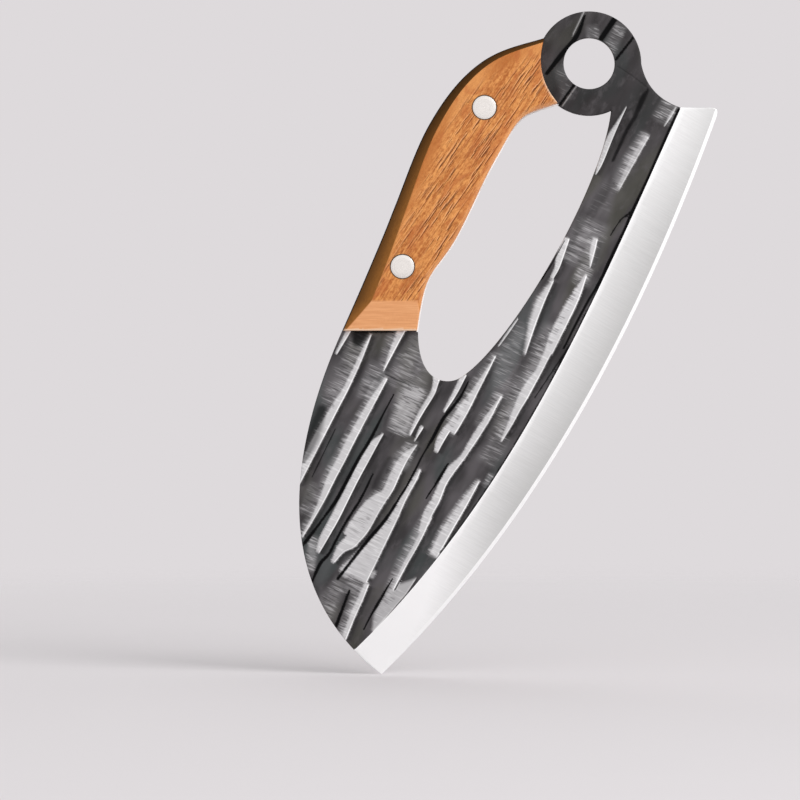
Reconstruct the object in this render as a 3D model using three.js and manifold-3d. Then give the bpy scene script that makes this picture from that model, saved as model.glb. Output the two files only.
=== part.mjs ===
// Kitchen cleaver with a hand opening, standing upright on the tip of its blade.
//
// One forged steel plate is the blade, the tang and the hanging ring. Two wooden scales lie on the
// tang, one on each side, and two cutler's rivets clamp them: each rivet is a pin with a head that is
// pressed into a barrel with a head.
//
// Millimetres and degrees. +Z is up, +X points to the cutting edge, and the front of the knife
// faces -Y. The outline is drawn from the tip of the blade; at the end the knife is moved so that the
// origin lies under the middle of its outline.

import * as THREE from 'three';
import { mergeVertices } from 'three/addons/utils/BufferGeometryUtils.js';
import Module from 'manifold-3d';

// Steel plate
const PLATE_THICKNESS = 3;
const SEAT_DEPTH = 0.25; // ground off each face where a scale lies

// Cutting edge, from the tip to the heel; directions are counted from +X towards +Z
const EDGE_CHORD = 221;
const EDGE_CHORD_ANGLE = 59;
const EDGE_TIP_ANGLE = 44;
const EDGE_HEEL_ANGLE = 70;
const EDGE_THICKNESS = 0.2;
const BEVEL_WIDTH_ENDS = 12.4;
const BEVEL_WIDTH_WIDEST = 14.5;
const BEVEL_WIDEST_AT = 0.7; // share of the edge from the tip, where the bevel is widest
const MICRO_BEVEL_WIDTH = 1.2;
const MICRO_BEVEL_THICKNESS = 0.5;

// Top of the heel, and the neck that sweeps from it into the ring
const HEEL_ROUND = 3.4;
const HEEL_TOP_WIDTH = 12.5;
const NECK_REACH = 2;
const NECK_RISE = 4;

// Ring, placed from the heel
const RING_FROM_HEEL = new THREE.Vector2(-43.3, 18.1);
const RING_RADIUS = 17.7;
const RING_BORE_RADIUS = 8.7;

// Grip: its centreline counted from the ring's centre, and its width at each point
const GRIP_WIDTH_RING = 22.9;
const GRIP_WIDTH_SHOULDER = 23.9;
const GRIP_WIDTH_PALM = 25.8;
const GRIP_WIDTH_MIDDLE = 23.9;
const GRIP_WIDTH_WAIST = 20.4;
const GRIP_WIDTH_FOOT = 26.9;
const GRIP_STATIONS = [
  [-10.2, -1.7, GRIP_WIDTH_RING],
  [-29.8, -9.4, GRIP_WIDTH_SHOULDER],
  [-43, -26.9, GRIP_WIDTH_PALM],
  [-55.2, -53.6, GRIP_WIDTH_MIDDLE],
  [-64.6, -72, GRIP_WIDTH_WAIST],
  [-72.8, -98.6, GRIP_WIDTH_FOOT],
];
const FOOT_DROP = 91; // from the ring's centre down to the lower end of the scales

// Back of the blade, from the grip's foot round to the tip
const BACK_FOOT_ARM = 35.2;
const BACK_TIP_ARM = 53;
const BACK_TIP_ANGLE = -37;

// Hand opening: lowest stretch counted from the grip's foot, then up the blade side to the ring
const OPENING_LOW_FROM_FOOT = new THREE.Vector2(13.5, -16.2);
const OPENING_LOW_ANGLE = 27;
const OPENING_FOOT_ARM = 18.8;
const OPENING_LOW_ARM_IN = 3.3;
const OPENING_LOW_ARM_OUT = 17.8;
const OPENING_TOP_ARM = 27.5;
const OPENING_TOP_ANGLE = 83.7;
const OPENING_CORNER_ANGLE = -65; // where the blade side meets the ring, seen from the ring's centre

// Wooden scales
const SCALE_THICKNESS = 7;
const SCALE_INSET = 0.4; // the tang stands this much proud of the wood
const SCALE_OUTER_WALL = 2.5;
const SCALE_OUTER_CHAMFER_RING = 1.3;
const SCALE_OUTER_CHAMFER_FOOT = 5.3;
const SCALE_INNER_CHAMFER = 1.4;
const SCALE_FOOT_WALL = 3;
const SCALE_FOOT_BEVEL = 10.2;
const SCALE_RING_LAP = 1.25; // how far the wood laps onto the ring
const SCALE_RING_HOLLOW_RADIUS = 21;
const SCALE_END_GAP = 0.2;

// Rivets, set along the grip's centreline
const RIVET_FROM_RING = 29.7;
const RIVET_SPACING = 60.6;
const RIVET_HEAD_RADIUS = 4;
const RIVET_HEAD_THICKNESS = 1.5;
const RIVET_BARREL_RADIUS = 2.5;
const RIVET_BARREL_FLOOR = 1;
const RIVET_PIN_RADIUS = 1.5;
const RIVET_PIN_CLEARANCE = 0.1;
const RIVET_HOLE_CLEARANCE = 0.15;
const RIVET_END_GAP = 0.3;

// Facets, and how far a cutter runs past what it cuts
const CURVE_STEPS = 44;
const GRIP_STEPS = 36;
const RING_FACETS = 72;
const HOLLOW_FACETS = 144;
const RIVET_FACETS = 36;
const CUT_MARGIN = 2;
const WELD_DISTANCE = 1e-4;

const wasm = await Module();
wasm.setup();

/** Closed mesh of positions only, with shared corners merged and its faces pointing out. */
function weld(geometry) {
  const bare = new THREE.BufferGeometry();
  bare.setAttribute('position', geometry.getAttribute('position').clone());
  bare.setIndex(geometry.index);
  const merged = mergeVertices(bare, WELD_DISTANCE);
  const points = merged.getAttribute('position');
  const index = merged.getIndex().array;
  const corner = [new THREE.Vector3(), new THREE.Vector3(), new THREE.Vector3()];
  const triangles = [];
  let volume = 0;
  for (let i = 0; i < index.length; i += 3) {
    const [a, b, c] = [index[i], index[i + 1], index[i + 2]];
    if (a === b || b === c || c === a) continue;
    triangles.push([a, b, c]);
    [a, b, c].forEach((vertex, k) => corner[k].fromBufferAttribute(points, vertex));
    volume += corner[0].dot(corner[1].cross(corner[2]));
  }
  const outward = volume < 0 ? triangles.map(([a, b, c]) => [a, c, b]) : triangles;
  merged.setIndex(outward.flat());
  return merged;
}

/** Solid that can be joined and cut. */
function solidOf(geometry) {
  const closed = weld(geometry);
  const vertProperties = Float32Array.from(closed.getAttribute('position').array);
  const triVerts = Uint32Array.from(closed.getIndex().array);
  return new wasm.Manifold(new wasm.Mesh({ numProp: 3, vertProperties, triVerts }));
}

/** Geometry of a finished solid. */
function geometryOf(solid) {
  const mesh = solid.getMesh();
  const geometry = new THREE.BufferGeometry();
  geometry.setAttribute('position', new THREE.BufferAttribute(mesh.vertProperties, 3));
  geometry.setIndex(new THREE.BufferAttribute(mesh.triVerts, 1));
  geometry.computeVertexNormals();
  return geometry;
}

/** Slab with an upright outline, from one depth to another along Y. */
function slab(outline, lowY, highY) {
  const geometry = new THREE.ExtrudeGeometry(outline, {
    depth: highY - lowY,
    bevelEnabled: false,
    curveSegments: CURVE_STEPS,
  });
  return geometry.rotateX(Math.PI / 2).translate(0, highY, 0);
}

/** Round bar between two depths along Y, centred on a point of the upright plane. */
function bar(radius, oneY, otherY, centre, facets) {
  const geometry = new THREE.CylinderGeometry(radius, radius, Math.abs(otherY - oneY), facets);
  return geometry.translate(centre.x, (oneY + otherY) / 2, centre.y);
}

/** Closed body through a row of sections; each section is star-shaped seen from its first point. */
function loft(sections) {
  const count = sections[0].length;
  const last = (sections.length - 1) * count;
  const index = [];
  for (let start = 0; start < last; start += count) {
    for (let i = 0; i < count; i++) {
      const a = start + i;
      const b = start + (i + 1) % count;
      index.push(a, b, a + count, b, b + count, a + count);
    }
  }
  for (let i = 1; i < count - 1; i++) {
    index.push(0, i + 1, i, last, last + i, last + i + 1);
  }
  return new THREE.BufferGeometry().setFromPoints(sections.flat()).setIndex(index);
}

/** Unit vector at an angle in degrees. */
function direction(angle) {
  const radians = THREE.MathUtils.degToRad(angle);
  return new THREE.Vector2(Math.cos(radians), Math.sin(radians));
}

/** Point at a distance from another along a unit vector. */
function from(point, along, distance) {
  return point.clone().addScaledVector(along, distance);
}

/** Adds a curve with the given control points to a path. */
function curveTo(path, first, second, end) {
  path.bezierCurveTo(first.x, first.y, second.x, second.y, end.x, end.y);
}

// Places that several pieces share
const tip = new THREE.Vector2(0, 0);
const heel = from(tip, direction(EDGE_CHORD_ANGLE), EDGE_CHORD);
const edge = new THREE.CubicBezierCurve(
  tip,
  from(tip, direction(EDGE_TIP_ANGLE), EDGE_CHORD / 3),
  from(heel, direction(EDGE_HEEL_ANGLE), -EDGE_CHORD / 3),
  heel,
);
const ring = heel.clone().add(RING_FROM_HEEL);
const footHeight = ring.y - FOOT_DROP;
const footReach = 2 * GRIP_WIDTH_FOOT;
const seatDepth = PLATE_THICKNESS / 2 - SEAT_DEPTH;
const scaleTop = seatDepth + SCALE_THICKNESS;
const grip = new THREE.CatmullRomCurve3(
  GRIP_STATIONS.map(([x, z, width]) => new THREE.Vector3(ring.x + x, ring.y + z, width)),
  false,
  'catmullrom',
);

/** Centre, direction across (from the back of the grip to the opening) and width at a share of the grip. */
function gripAt(share) {
  const here = grip.getPoint(share);
  const slope = grip.getTangent(share);
  const across = new THREE.Vector2(-slope.y, slope.x).normalize();
  return { centre: new THREE.Vector2(here.x, here.y), across, width: here.z };
}

/** Points of one side of the grip, from the ring down to the foot: -1 is the back, 1 the opening. */
function gripSide(side) {
  const points = [];
  for (let step = 0; step <= GRIP_STEPS; step++) {
    const { centre, across, width } = gripAt(step / GRIP_STEPS);
    const point = from(centre, across, side * width / 2);
    if (point.y <= footHeight) {
      const above = points.at(-1);
      const share = (above.y - footHeight) / (above.y - point.y);
      points.push(above.clone().lerp(point, share));
      break;
    }
    points.push(point);
  }
  return points;
}

const gripBack = gripSide(-1);
const gripFront = gripSide(1);

/** Body that follows the grip on one face of the tang; a section is a list of [across, height]. */
function gripBody(face, sectionAt) {
  const sections = [];
  for (let step = 0; step <= GRIP_STEPS; step++) {
    const share = step / GRIP_STEPS;
    const { centre, across, width } = gripAt(share);
    sections.push(sectionAt(width / 2, share).map(([offset, height]) => {
      const point = from(centre, across, offset);
      return new THREE.Vector3(point.x, face * height, point.y);
    }));
  }
  return solidOf(loft(sections));
}

/** Bar whose round side is the hollow end of a scale at the ring. */
function ringHollow(gap) {
  const away = ring.clone().sub(gripAt(0).centre).normalize();
  const bite = RING_RADIUS - SCALE_RING_LAP;
  const centre = from(ring, away, SCALE_RING_HOLLOW_RADIUS - bite);
  const reach = scaleTop + CUT_MARGIN;
  return solidOf(bar(SCALE_RING_HOLLOW_RADIUS + gap, -reach, reach, centre, HOLLOW_FACETS));
}

/** Block under the foot of the grip, as wide as it needs; a section is a list of [height, z]. */
function footBlock(face, section) {
  const middle = gripAt(1).centre.x;
  return solidOf(loft([middle - footReach, middle + footReach].map((x) => (
    section.map(([height, z]) => new THREE.Vector3(x, face * height, z))
  ))));
}

/** Outline of the plate without the ring, which is joined to it. */
function plateOutline() {
  const top = heel.y + HEEL_ROUND * direction(EDGE_HEEL_ANGLE).y;
  const corner = new THREE.Vector2(heel.x + HEEL_ROUND * direction(EDGE_HEEL_ANGLE).x, top);
  const shoulder = new THREE.Vector2(heel.x - HEEL_TOP_WIDTH, top);
  const ringSide = new THREE.Vector2(ring.x + RING_RADIUS, ring.y);
  const outline = new THREE.Shape();
  outline.moveTo(tip.x, tip.y);
  curveTo(outline, edge.v1, edge.v2, heel);
  outline.quadraticCurveTo(corner.x, top, corner.x - HEEL_ROUND, top);
  outline.lineTo(shoulder.x, top);
  outline.quadraticCurveTo(ringSide.x + NECK_REACH, top + NECK_RISE, ringSide.x, ringSide.y);
  gripBack.forEach((point) => outline.lineTo(point.x, point.y));
  const foot = gripBack.at(-1);
  const along = foot.clone().sub(gripBack.at(-2)).normalize();
  curveTo(
    outline,
    from(foot, along, BACK_FOOT_ARM),
    from(tip, direction(BACK_TIP_ANGLE), -BACK_TIP_ARM),
    tip,
  );
  return outline;
}

/** Outline of the hand opening; its upper end lies inside the ring. */
function openingOutline() {
  const foot = gripFront.at(-1);
  const low = foot.clone().add(OPENING_LOW_FROM_FOOT);
  const corner = from(ring, direction(OPENING_CORNER_ANGLE), RING_RADIUS);
  const lowAlong = direction(OPENING_LOW_ANGLE);
  const outline = new THREE.Shape(gripFront);
  curveTo(
    outline,
    from(foot, direction(-90), OPENING_FOOT_ARM),
    from(low, lowAlong, -OPENING_LOW_ARM_IN),
    low,
  );
  curveTo(
    outline,
    from(low, lowAlong, OPENING_LOW_ARM_OUT),
    from(corner, direction(OPENING_TOP_ANGLE), -OPENING_TOP_ARM),
    corner,
  );
  outline.lineTo(ring.x, ring.y);
  return outline;
}

/** Cutter that grinds the bevel and the fine bevel at the edge on one face. */
function bevelCutter(face) {
  const reach = PLATE_THICKNESS / 2 + CUT_MARGIN;
  const finePitch = (MICRO_BEVEL_THICKNESS - EDGE_THICKNESS) / 2 / MICRO_BEVEL_WIDTH;
  const outside = EDGE_THICKNESS / 2 - finePitch * CUT_MARGIN;
  const sectionAt = (point, along, width) => {
    const inward = new THREE.Vector2(-along.y, along.x);
    return [
      [width, reach],
      [width, PLATE_THICKNESS / 2],
      [MICRO_BEVEL_WIDTH, MICRO_BEVEL_THICKNESS / 2],
      [0, EDGE_THICKNESS / 2],
      [-CUT_MARGIN, outside],
      [-CUT_MARGIN, reach],
    ].map(([distance, height]) => {
      const place = from(point, inward, distance);
      return new THREE.Vector3(place.x, face * height, place.y);
    });
  };
  const sections = [];
  const run = BEVEL_WIDTH_ENDS / 2;
  const tipAlong = direction(EDGE_TIP_ANGLE);
  const heelAlong = direction(EDGE_HEEL_ANGLE);
  const skew = Math.log(0.5) / Math.log(BEVEL_WIDEST_AT);
  sections.push(sectionAt(from(tip, tipAlong, -run), tipAlong, BEVEL_WIDTH_ENDS));
  for (let step = 0; step <= CURVE_STEPS; step++) {
    const share = step / CURVE_STEPS;
    const place = share ** skew;
    const bulge = 4 * place * (1 - place);
    const width = THREE.MathUtils.lerp(BEVEL_WIDTH_ENDS, BEVEL_WIDTH_WIDEST, bulge);
    sections.push(sectionAt(edge.getPoint(share), edge.getTangent(share), width));
  }
  sections.push(sectionAt(from(heel, heelAlong, run), heelAlong, BEVEL_WIDTH_ENDS));
  return solidOf(loft(sections));
}

/** Cutter that grinds the seat of a scale into one face of the tang. */
function seatCutter(face) {
  const reach = PLATE_THICKNESS / 2 + CUT_MARGIN;
  const body = gripBody(face, (half) => {
    const side = half + CUT_MARGIN;
    return [[-side, seatDepth], [-side, reach], [side, reach], [side, seatDepth]];
  });
  const below = footHeight - footReach;
  const block = footBlock(face, [
    [0, below],
    [0, footHeight],
    [reach + CUT_MARGIN, footHeight],
    [reach + CUT_MARGIN, below],
  ]);
  return body.subtract(ringHollow(0)).subtract(block);
}

/** Rivet centres on the grip's centreline, upper one first. */
function rivetCentres() {
  const flat = new THREE.CatmullRomCurve3(
    grip.points.map(({ x, y }) => new THREE.Vector3(x, y, 0)),
    false,
    'catmullrom',
  );
  const length = flat.getLength();
  return [RIVET_FROM_RING, RIVET_FROM_RING + RIVET_SPACING].map((distance) => {
    const place = flat.getPointAt(distance / length);
    return new THREE.Vector2(place.x, place.y);
  });
}

const rivets = rivetCentres();

/** Blade, tang and ring. */
function makeBlade() {
  const half = PLATE_THICKNESS / 2;
  const reach = half + CUT_MARGIN;
  let plate = solidOf(slab(plateOutline(), -half, half));
  plate = plate.subtract(solidOf(slab(openingOutline(), -reach, reach)));
  plate = plate.add(solidOf(bar(RING_RADIUS, -half, half, ring, RING_FACETS)));
  plate = plate.subtract(solidOf(bar(RING_BORE_RADIUS, -reach, reach, ring, RING_FACETS)));
  for (const face of [-1, 1]) {
    plate = plate.subtract(bevelCutter(face)).subtract(seatCutter(face));
  }
  const hole = RIVET_BARREL_RADIUS + RIVET_HOLE_CLEARANCE;
  for (const centre of rivets) {
    plate = plate.subtract(solidOf(bar(hole, -reach, reach, centre, RIVET_FACETS)));
  }
  return geometryOf(plate);
}

/** Block that trims the lower end of a scale square, with a slope on its outer side. */
function scaleFootBlock(face) {
  const foot = footHeight + SCALE_END_GAP;
  const below = foot - footReach;
  const slope = SCALE_FOOT_BEVEL / (SCALE_THICKNESS - SCALE_FOOT_WALL);
  const high = foot + SCALE_FOOT_BEVEL + slope * CUT_MARGIN;
  const far = scaleTop + 2 * CUT_MARGIN;
  return footBlock(face, [
    [far, below],
    [far, high],
    [scaleTop + CUT_MARGIN, high],
    [seatDepth + SCALE_FOOT_WALL, foot],
    [0, foot],
    [0, below],
  ]);
}

/** Wooden scale on one face of the tang. */
function makeScale(face) {
  const body = gripBody(face, (half, share) => {
    const outer = SCALE_INSET - half;
    const inner = half - SCALE_INSET;
    const chamfer = THREE.MathUtils.lerp(SCALE_OUTER_CHAMFER_RING, SCALE_OUTER_CHAMFER_FOOT, share);
    return [
      [outer, seatDepth],
      [outer, seatDepth + SCALE_OUTER_WALL],
      [outer + chamfer, scaleTop],
      [inner - SCALE_INNER_CHAMFER, scaleTop],
      [inner, scaleTop - SCALE_INNER_CHAMFER],
      [inner, seatDepth],
    ];
  });
  let scale = body.subtract(ringHollow(SCALE_END_GAP)).subtract(scaleFootBlock(face));
  const headSeat = face * (scaleTop - RIVET_HEAD_THICKNESS);
  const outside = face * (scaleTop + CUT_MARGIN);
  const headHole = RIVET_HEAD_RADIUS + RIVET_HOLE_CLEARANCE;
  const barrelHole = RIVET_BARREL_RADIUS + RIVET_HOLE_CLEARANCE;
  for (const centre of rivets) {
    const counterbore = bar(headHole, headSeat, outside, centre, RIVET_FACETS);
    const through = bar(barrelHole, 0, outside, centre, RIVET_FACETS);
    scale = scale.subtract(solidOf(counterbore)).subtract(solidOf(through));
  }
  return geometryOf(scale);
}

/** Turned piece along Y at a rivet's place. */
function turned(profile, centre) {
  const points = profile.map(([radius, y]) => new THREE.Vector2(radius, y));
  const geometry = weld(new THREE.LatheGeometry(points, RIVET_FACETS).translate(centre.x, 0, centre.y));
  geometry.computeVertexNormals();
  return geometry;
}

const boreFloor = scaleTop - RIVET_HEAD_THICKNESS - RIVET_BARREL_FLOOR;

/** Pin half of a rivet, with its head on the front scale. */
function makeRivetPin(centre) {
  const underHead = RIVET_HEAD_THICKNESS - scaleTop;
  const end = boreFloor - RIVET_END_GAP;
  return turned([
    [0, -scaleTop],
    [RIVET_HEAD_RADIUS, -scaleTop],
    [RIVET_HEAD_RADIUS, underHead],
    [RIVET_PIN_RADIUS, underHead],
    [RIVET_PIN_RADIUS, end],
    [0, end],
  ], centre);
}

/** Barrel half of a rivet, with its head on the rear scale. */
function makeRivetBarrel(centre) {
  const underHead = scaleTop - RIVET_HEAD_THICKNESS;
  const bore = RIVET_PIN_RADIUS + RIVET_PIN_CLEARANCE;
  const mouth = RIVET_END_GAP - underHead;
  return turned([
    [0, boreFloor],
    [bore, boreFloor],
    [bore, mouth],
    [RIVET_BARREL_RADIUS, mouth],
    [RIVET_BARREL_RADIUS, underHead],
    [RIVET_HEAD_RADIUS, underHead],
    [RIVET_HEAD_RADIUS, scaleTop],
    [0, scaleTop],
  ], centre);
}

const forgedSteel = new THREE.MeshStandardMaterial({ color: 0x4a4a4d, roughness: 0.45, metalness: 0.8 });
const wood = new THREE.MeshStandardMaterial({ color: 0xbf7740, roughness: 0.55, metalness: 0 });
const rivetSteel = new THREE.MeshStandardMaterial({ color: 0xe6e2dc, roughness: 0.3, metalness: 0.9 });

/** Named mesh. */
function piece(name, geometry, material) {
  const mesh = new THREE.Mesh(geometry, material);
  mesh.name = name;
  return mesh;
}

const cleaver = new THREE.Group();
const blade = piece('blade', makeBlade(), forgedSteel);
cleaver.add(blade);
cleaver.add(piece('front_scale', makeScale(-1), wood));
cleaver.add(piece('rear_scale', makeScale(1), wood));
rivets.forEach((centre, i) => {
  const place = ['upper', 'lower'][i];
  cleaver.add(piece(`${place}_rivet_pin`, makeRivetPin(centre), rivetSteel));
  cleaver.add(piece(`${place}_rivet_barrel`, makeRivetBarrel(centre), rivetSteel));
});

const box = new THREE.Box3().setFromObject(blade);
cleaver.position.set(-(box.min.x + box.max.x) / 2, 0, -box.min.z);

export default cleaver;
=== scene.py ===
"""Kitchen cleaver with a hand opening, dressed for the studio.

One forged plate is the blade, the tang and the hanging ring. Two wooden scales lie on the tang, and
two cutler's rivets hold them. Sizes are millimetres: x runs towards the cutting edge from the middle
of the outline, z runs up from the tip of the blade, and y is the depth, with the front at -y.
"""

import logging
import math
from dataclasses import dataclass, field, replace
from enum import Enum
from typing import Any

import bpy
import numpy as np
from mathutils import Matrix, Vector
from mathutils.geometry import delaunay_2d_cdt

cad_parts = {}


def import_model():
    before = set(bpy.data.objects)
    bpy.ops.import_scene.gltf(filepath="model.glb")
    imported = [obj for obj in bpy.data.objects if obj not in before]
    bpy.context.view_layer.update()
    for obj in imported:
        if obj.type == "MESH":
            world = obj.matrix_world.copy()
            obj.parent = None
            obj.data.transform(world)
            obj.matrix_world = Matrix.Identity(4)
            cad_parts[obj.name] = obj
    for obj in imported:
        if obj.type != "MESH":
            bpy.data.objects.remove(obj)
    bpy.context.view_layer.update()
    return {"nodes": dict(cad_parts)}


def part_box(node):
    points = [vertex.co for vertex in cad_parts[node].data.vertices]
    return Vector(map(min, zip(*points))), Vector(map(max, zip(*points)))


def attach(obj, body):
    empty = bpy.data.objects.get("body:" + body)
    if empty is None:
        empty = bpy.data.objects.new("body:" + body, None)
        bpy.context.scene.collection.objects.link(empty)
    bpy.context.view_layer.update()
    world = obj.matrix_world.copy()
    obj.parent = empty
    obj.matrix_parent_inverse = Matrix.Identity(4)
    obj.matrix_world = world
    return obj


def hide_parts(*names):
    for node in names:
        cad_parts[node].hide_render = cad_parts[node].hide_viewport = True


LOG = logging.getLogger("cleaver")
MM = 0.001
BODY = "root"
WELD = 1e-6
FLUTE_ANGLE = 62.0
REAR_SHIFT = (2.5, -4.0)
SHARP_ANGLE = 50.0

Pair = tuple[float, float]
Triple = tuple[float, float, float]
Track = tuple[Triple, ...]
Colour = Triple


class Face(Enum):
    """Side of the knife, with the sign of y that it looks to."""

    FRONT = -1
    REAR = 1


class RivetHalf(Enum):
    """Half of a cutler's rivet, with the side that its head is on."""

    PIN = -1
    BARREL = 1


def direction(angle: float) -> np.ndarray:
    """Unit vector at an angle in degrees, counted from +x towards +z."""
    turn = math.radians(angle)
    return np.array([math.cos(turn), math.sin(turn)])


def smooth(low: float, high: float, value: np.ndarray) -> np.ndarray:
    """Smooth step from 0 at low to 1 at high."""
    share = np.clip((value - low) / (high - low), 0.0, 1.0)
    return share * share * (3.0 - 2.0 * share)


def bezier(controls: list[np.ndarray], count: int = 120) -> np.ndarray:
    """Points of a Bezier curve.

    Args:
        controls: Control points, three for a quadratic curve and four for a cubic one.
        count: Number of points.

    Returns:
        Array of points, count by 2.
    """
    share = np.linspace(0.0, 1.0, count)[:, None]
    rows = [np.repeat(np.asarray(point, float)[None, :], count, 0) for point in controls]
    while len(rows) > 1:
        rows = [(1.0 - share) * one + share * other for one, other in zip(rows, rows[1:])]
    return rows[0]


def arc(centre: np.ndarray, radius: float, start: float, end: float, count: int = 90) -> np.ndarray:
    """Points of an arc from one angle to another, in degrees."""
    turn = np.radians(np.linspace(start, end, count))
    return centre + radius * np.stack([np.cos(turn), np.sin(turn)], 1)


def run_along(line: np.ndarray) -> np.ndarray:
    """Length run along a line up to each of its points."""
    return np.concatenate([[0.0], np.cumsum(np.linalg.norm(np.diff(line, axis=0), axis=1))])


def spaced(points: np.ndarray, step: float) -> np.ndarray:
    """Points at an even spacing along a line, with both of its ends.

    Args:
        points: Points of the line.
        step: Wanted spacing.

    Returns:
        The new points.
    """
    run = run_along(points)
    count = max(2, round(run[-1] / step) + 1)
    places = np.linspace(0.0, run[-1], count)
    return np.stack([np.interp(places, run, points[:, k]) for k in (0, 1)], 1)


def chain(parts: list[np.ndarray], step: float) -> np.ndarray:
    """Closed loop made of lines that follow each other, evenly spaced between their ends."""
    return np.concatenate([spaced(part, step)[:-1] for part in parts])


def signed_area(loop: np.ndarray) -> float:
    """Area inside a loop, positive where it runs counterclockwise."""
    after = np.roll(loop, -1, 0)
    return float(np.sum(loop[:, 0] * after[:, 1] - after[:, 0] * loop[:, 1]) / 2.0)


def wound(loop: np.ndarray, hole: bool) -> np.ndarray:
    """The loop counterclockwise, or clockwise where it bounds a hole."""
    return loop[::-1] if (signed_area(loop) > 0.0) == hole else loop


def inside(points: np.ndarray, loop: np.ndarray) -> np.ndarray:
    """Mask of the points that a closed loop encloses."""
    order = np.argsort(points[:, 1])
    x, z = points[order].T
    crossed = np.zeros(len(points), bool)
    for start, end in zip(loop, np.roll(loop, -1, 0)):
        first, last = np.searchsorted(z, sorted((start[1], end[1])))
        if first < last:
            share = (z[first:last] - start[1]) / (end[1] - start[1])
            crossed[first:last] ^= x[first:last] < start[0] + share * (end[0] - start[0])
    within = np.zeros(len(points), bool)
    within[order] = crossed
    return within


def within(points: np.ndarray, loops: list[np.ndarray]) -> np.ndarray:
    """Mask of the points inside an outer loop and outside its holes."""
    kept = inside(points, loops[0])
    for hole in loops[1:]:
        kept &= ~inside(points, hole)
    return kept


def rounding(away: np.ndarray, radius: float) -> np.ndarray:
    """How far a rounded rim lies below its face, by the distance from its border."""
    return radius - np.sqrt(radius**2 - (radius - away) ** 2)


def extended(rows: np.ndarray) -> np.ndarray:
    """Rows with one more at each end, carried straight on."""
    return np.vstack([2.0 * rows[0] - rows[1], rows, 2.0 * rows[-1] - rows[-2]])


def smooth_stretch(before: np.ndarray, start: np.ndarray, end: np.ndarray, after: np.ndarray,
                   share: np.ndarray) -> tuple[np.ndarray, np.ndarray]:
    """Smooth curve from one point to the next, between their neighbours.

    Args:
        before: Point before the stretch.
        start: Where the stretch starts.
        end: Where it ends.
        after: Point after the stretch.
        share: Shares of the stretch, from 0 to 1.

    Returns:
        Points of the curve, and its slope at each.
    """
    leave, arrive = (end - before) / 2.0, (after - start) / 2.0
    bend = 2.0 * (start - end) + leave + arrive
    sway = 3.0 * (end - start) - 2.0 * leave - arrive
    points = ((bend * share + sway) * share + leave) * share + start
    return points, (3.0 * bend * share + 2.0 * sway) * share + leave


@dataclass
class Nearest:
    """Where points lie beside a line.

    Attributes:
        offset: Distance from the line, positive on the right of its direction.
        along: Length run along the line.
        past: Distance run past either end, zero beside the line.
    """

    offset: np.ndarray
    along: np.ndarray
    past: np.ndarray


def beside(points: np.ndarray, line: np.ndarray) -> Nearest:
    """Nearest place on an open line for each point.

    Args:
        points: Points to place.
        line: Points of the line.

    Returns:
        The offsets, lengths and overruns.
    """
    best = np.full(len(points), np.inf)
    found = Nearest(np.zeros(len(points)), np.zeros(len(points)), np.zeros(len(points)))
    run = 0.0
    last = len(line) - 2
    for index, (start, end) in enumerate(zip(line, line[1:])):
        length = float(np.linalg.norm(end - start))
        way = (end - start) / length
        reach = (points - start) @ way
        held = np.clip(reach, 0.0, length)
        across = (points - start) @ np.array([way[1], -way[0]])
        over = np.abs(reach - held)
        square = across * across + over * over
        closer = square < best
        best = np.where(closer, square, best)
        side = np.where(across < 0.0, -1.0, 1.0)
        open_end = (reach < 0.0) if index == 0 else np.zeros(len(points), bool)
        if index == last:
            open_end = open_end | (reach > length)
        beyond = np.where(open_end, over, 0.0)
        offset = np.where(open_end, across, side * np.sqrt(square))
        found.offset = np.where(closer, offset, found.offset)
        found.along = np.where(closer, run + held, found.along)
        found.past = np.where(closer, beyond, found.past)
        run += length
    return found


def close_to(points: np.ndarray, line: np.ndarray, reach: float) -> np.ndarray:
    """Places of the points that lie in a line's box, widened by a reach."""
    return np.flatnonzero(np.all((points > line.min(0) - reach) & (points < line.max(0) + reach), 1))


def clearance(points: np.ndarray, lines: list[np.ndarray], reach: float) -> np.ndarray:
    """Distance from each point to the nearest of several lines.

    Args:
        points: Points to measure from.
        lines: Open lines.
        reach: Distance past which no more is counted.

    Returns:
        The distances.
    """
    least = np.full(len(points), reach)
    stretch = 24
    for line in lines:
        for start in range(0, len(line) - 1, stretch):
            part = line[start:start + stretch + 1]
            near = close_to(points, part, reach)
            if len(near):
                place = beside(points[near], part)
                least[near] = np.minimum(least[near], np.hypot(place.offset, place.past))
    return least


def stretches(line: np.ndarray, kept: np.ndarray) -> list[np.ndarray]:
    """Unbroken stretches of a line whose points are kept."""
    breaks = np.flatnonzero(np.diff(kept.astype(int))) + 1
    parts = zip(np.split(line, breaks), np.split(kept, breaks))
    return [part for part, keep in parts if keep[0] and len(part) > 1]


def closed(loop: np.ndarray) -> np.ndarray:
    """The loop with its first point repeated at its end."""
    return np.vstack([loop, loop[:1]])


def lattice(low: np.ndarray, high: np.ndarray, angle: float, along: float, across: float) -> np.ndarray:
    """Staggered points that fill a box, in rows at an angle.

    Args:
        low: Lowest corner of the box.
        high: Highest corner of the box.
        angle: Direction of the rows in degrees.
        along: Spacing along a row.
        across: Spacing between rows.

    Returns:
        The points.
    """
    middle = (low + high) / 2.0
    reach = float(np.linalg.norm(high - low)) / 2.0
    rows = np.arange(-reach, reach, across)
    places = np.arange(-reach, reach, along)
    stagger = (np.arange(len(rows)) % 2)[:, None] * along / 2.0
    first, second = direction(angle), direction(angle + 90.0)
    grid = (places[None, :] + stagger)[..., None] * first + rows[:, None, None] * second
    points = grid.reshape(-1, 2) + middle
    return points[np.all((points > low) & (points < high), 1)]


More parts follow.
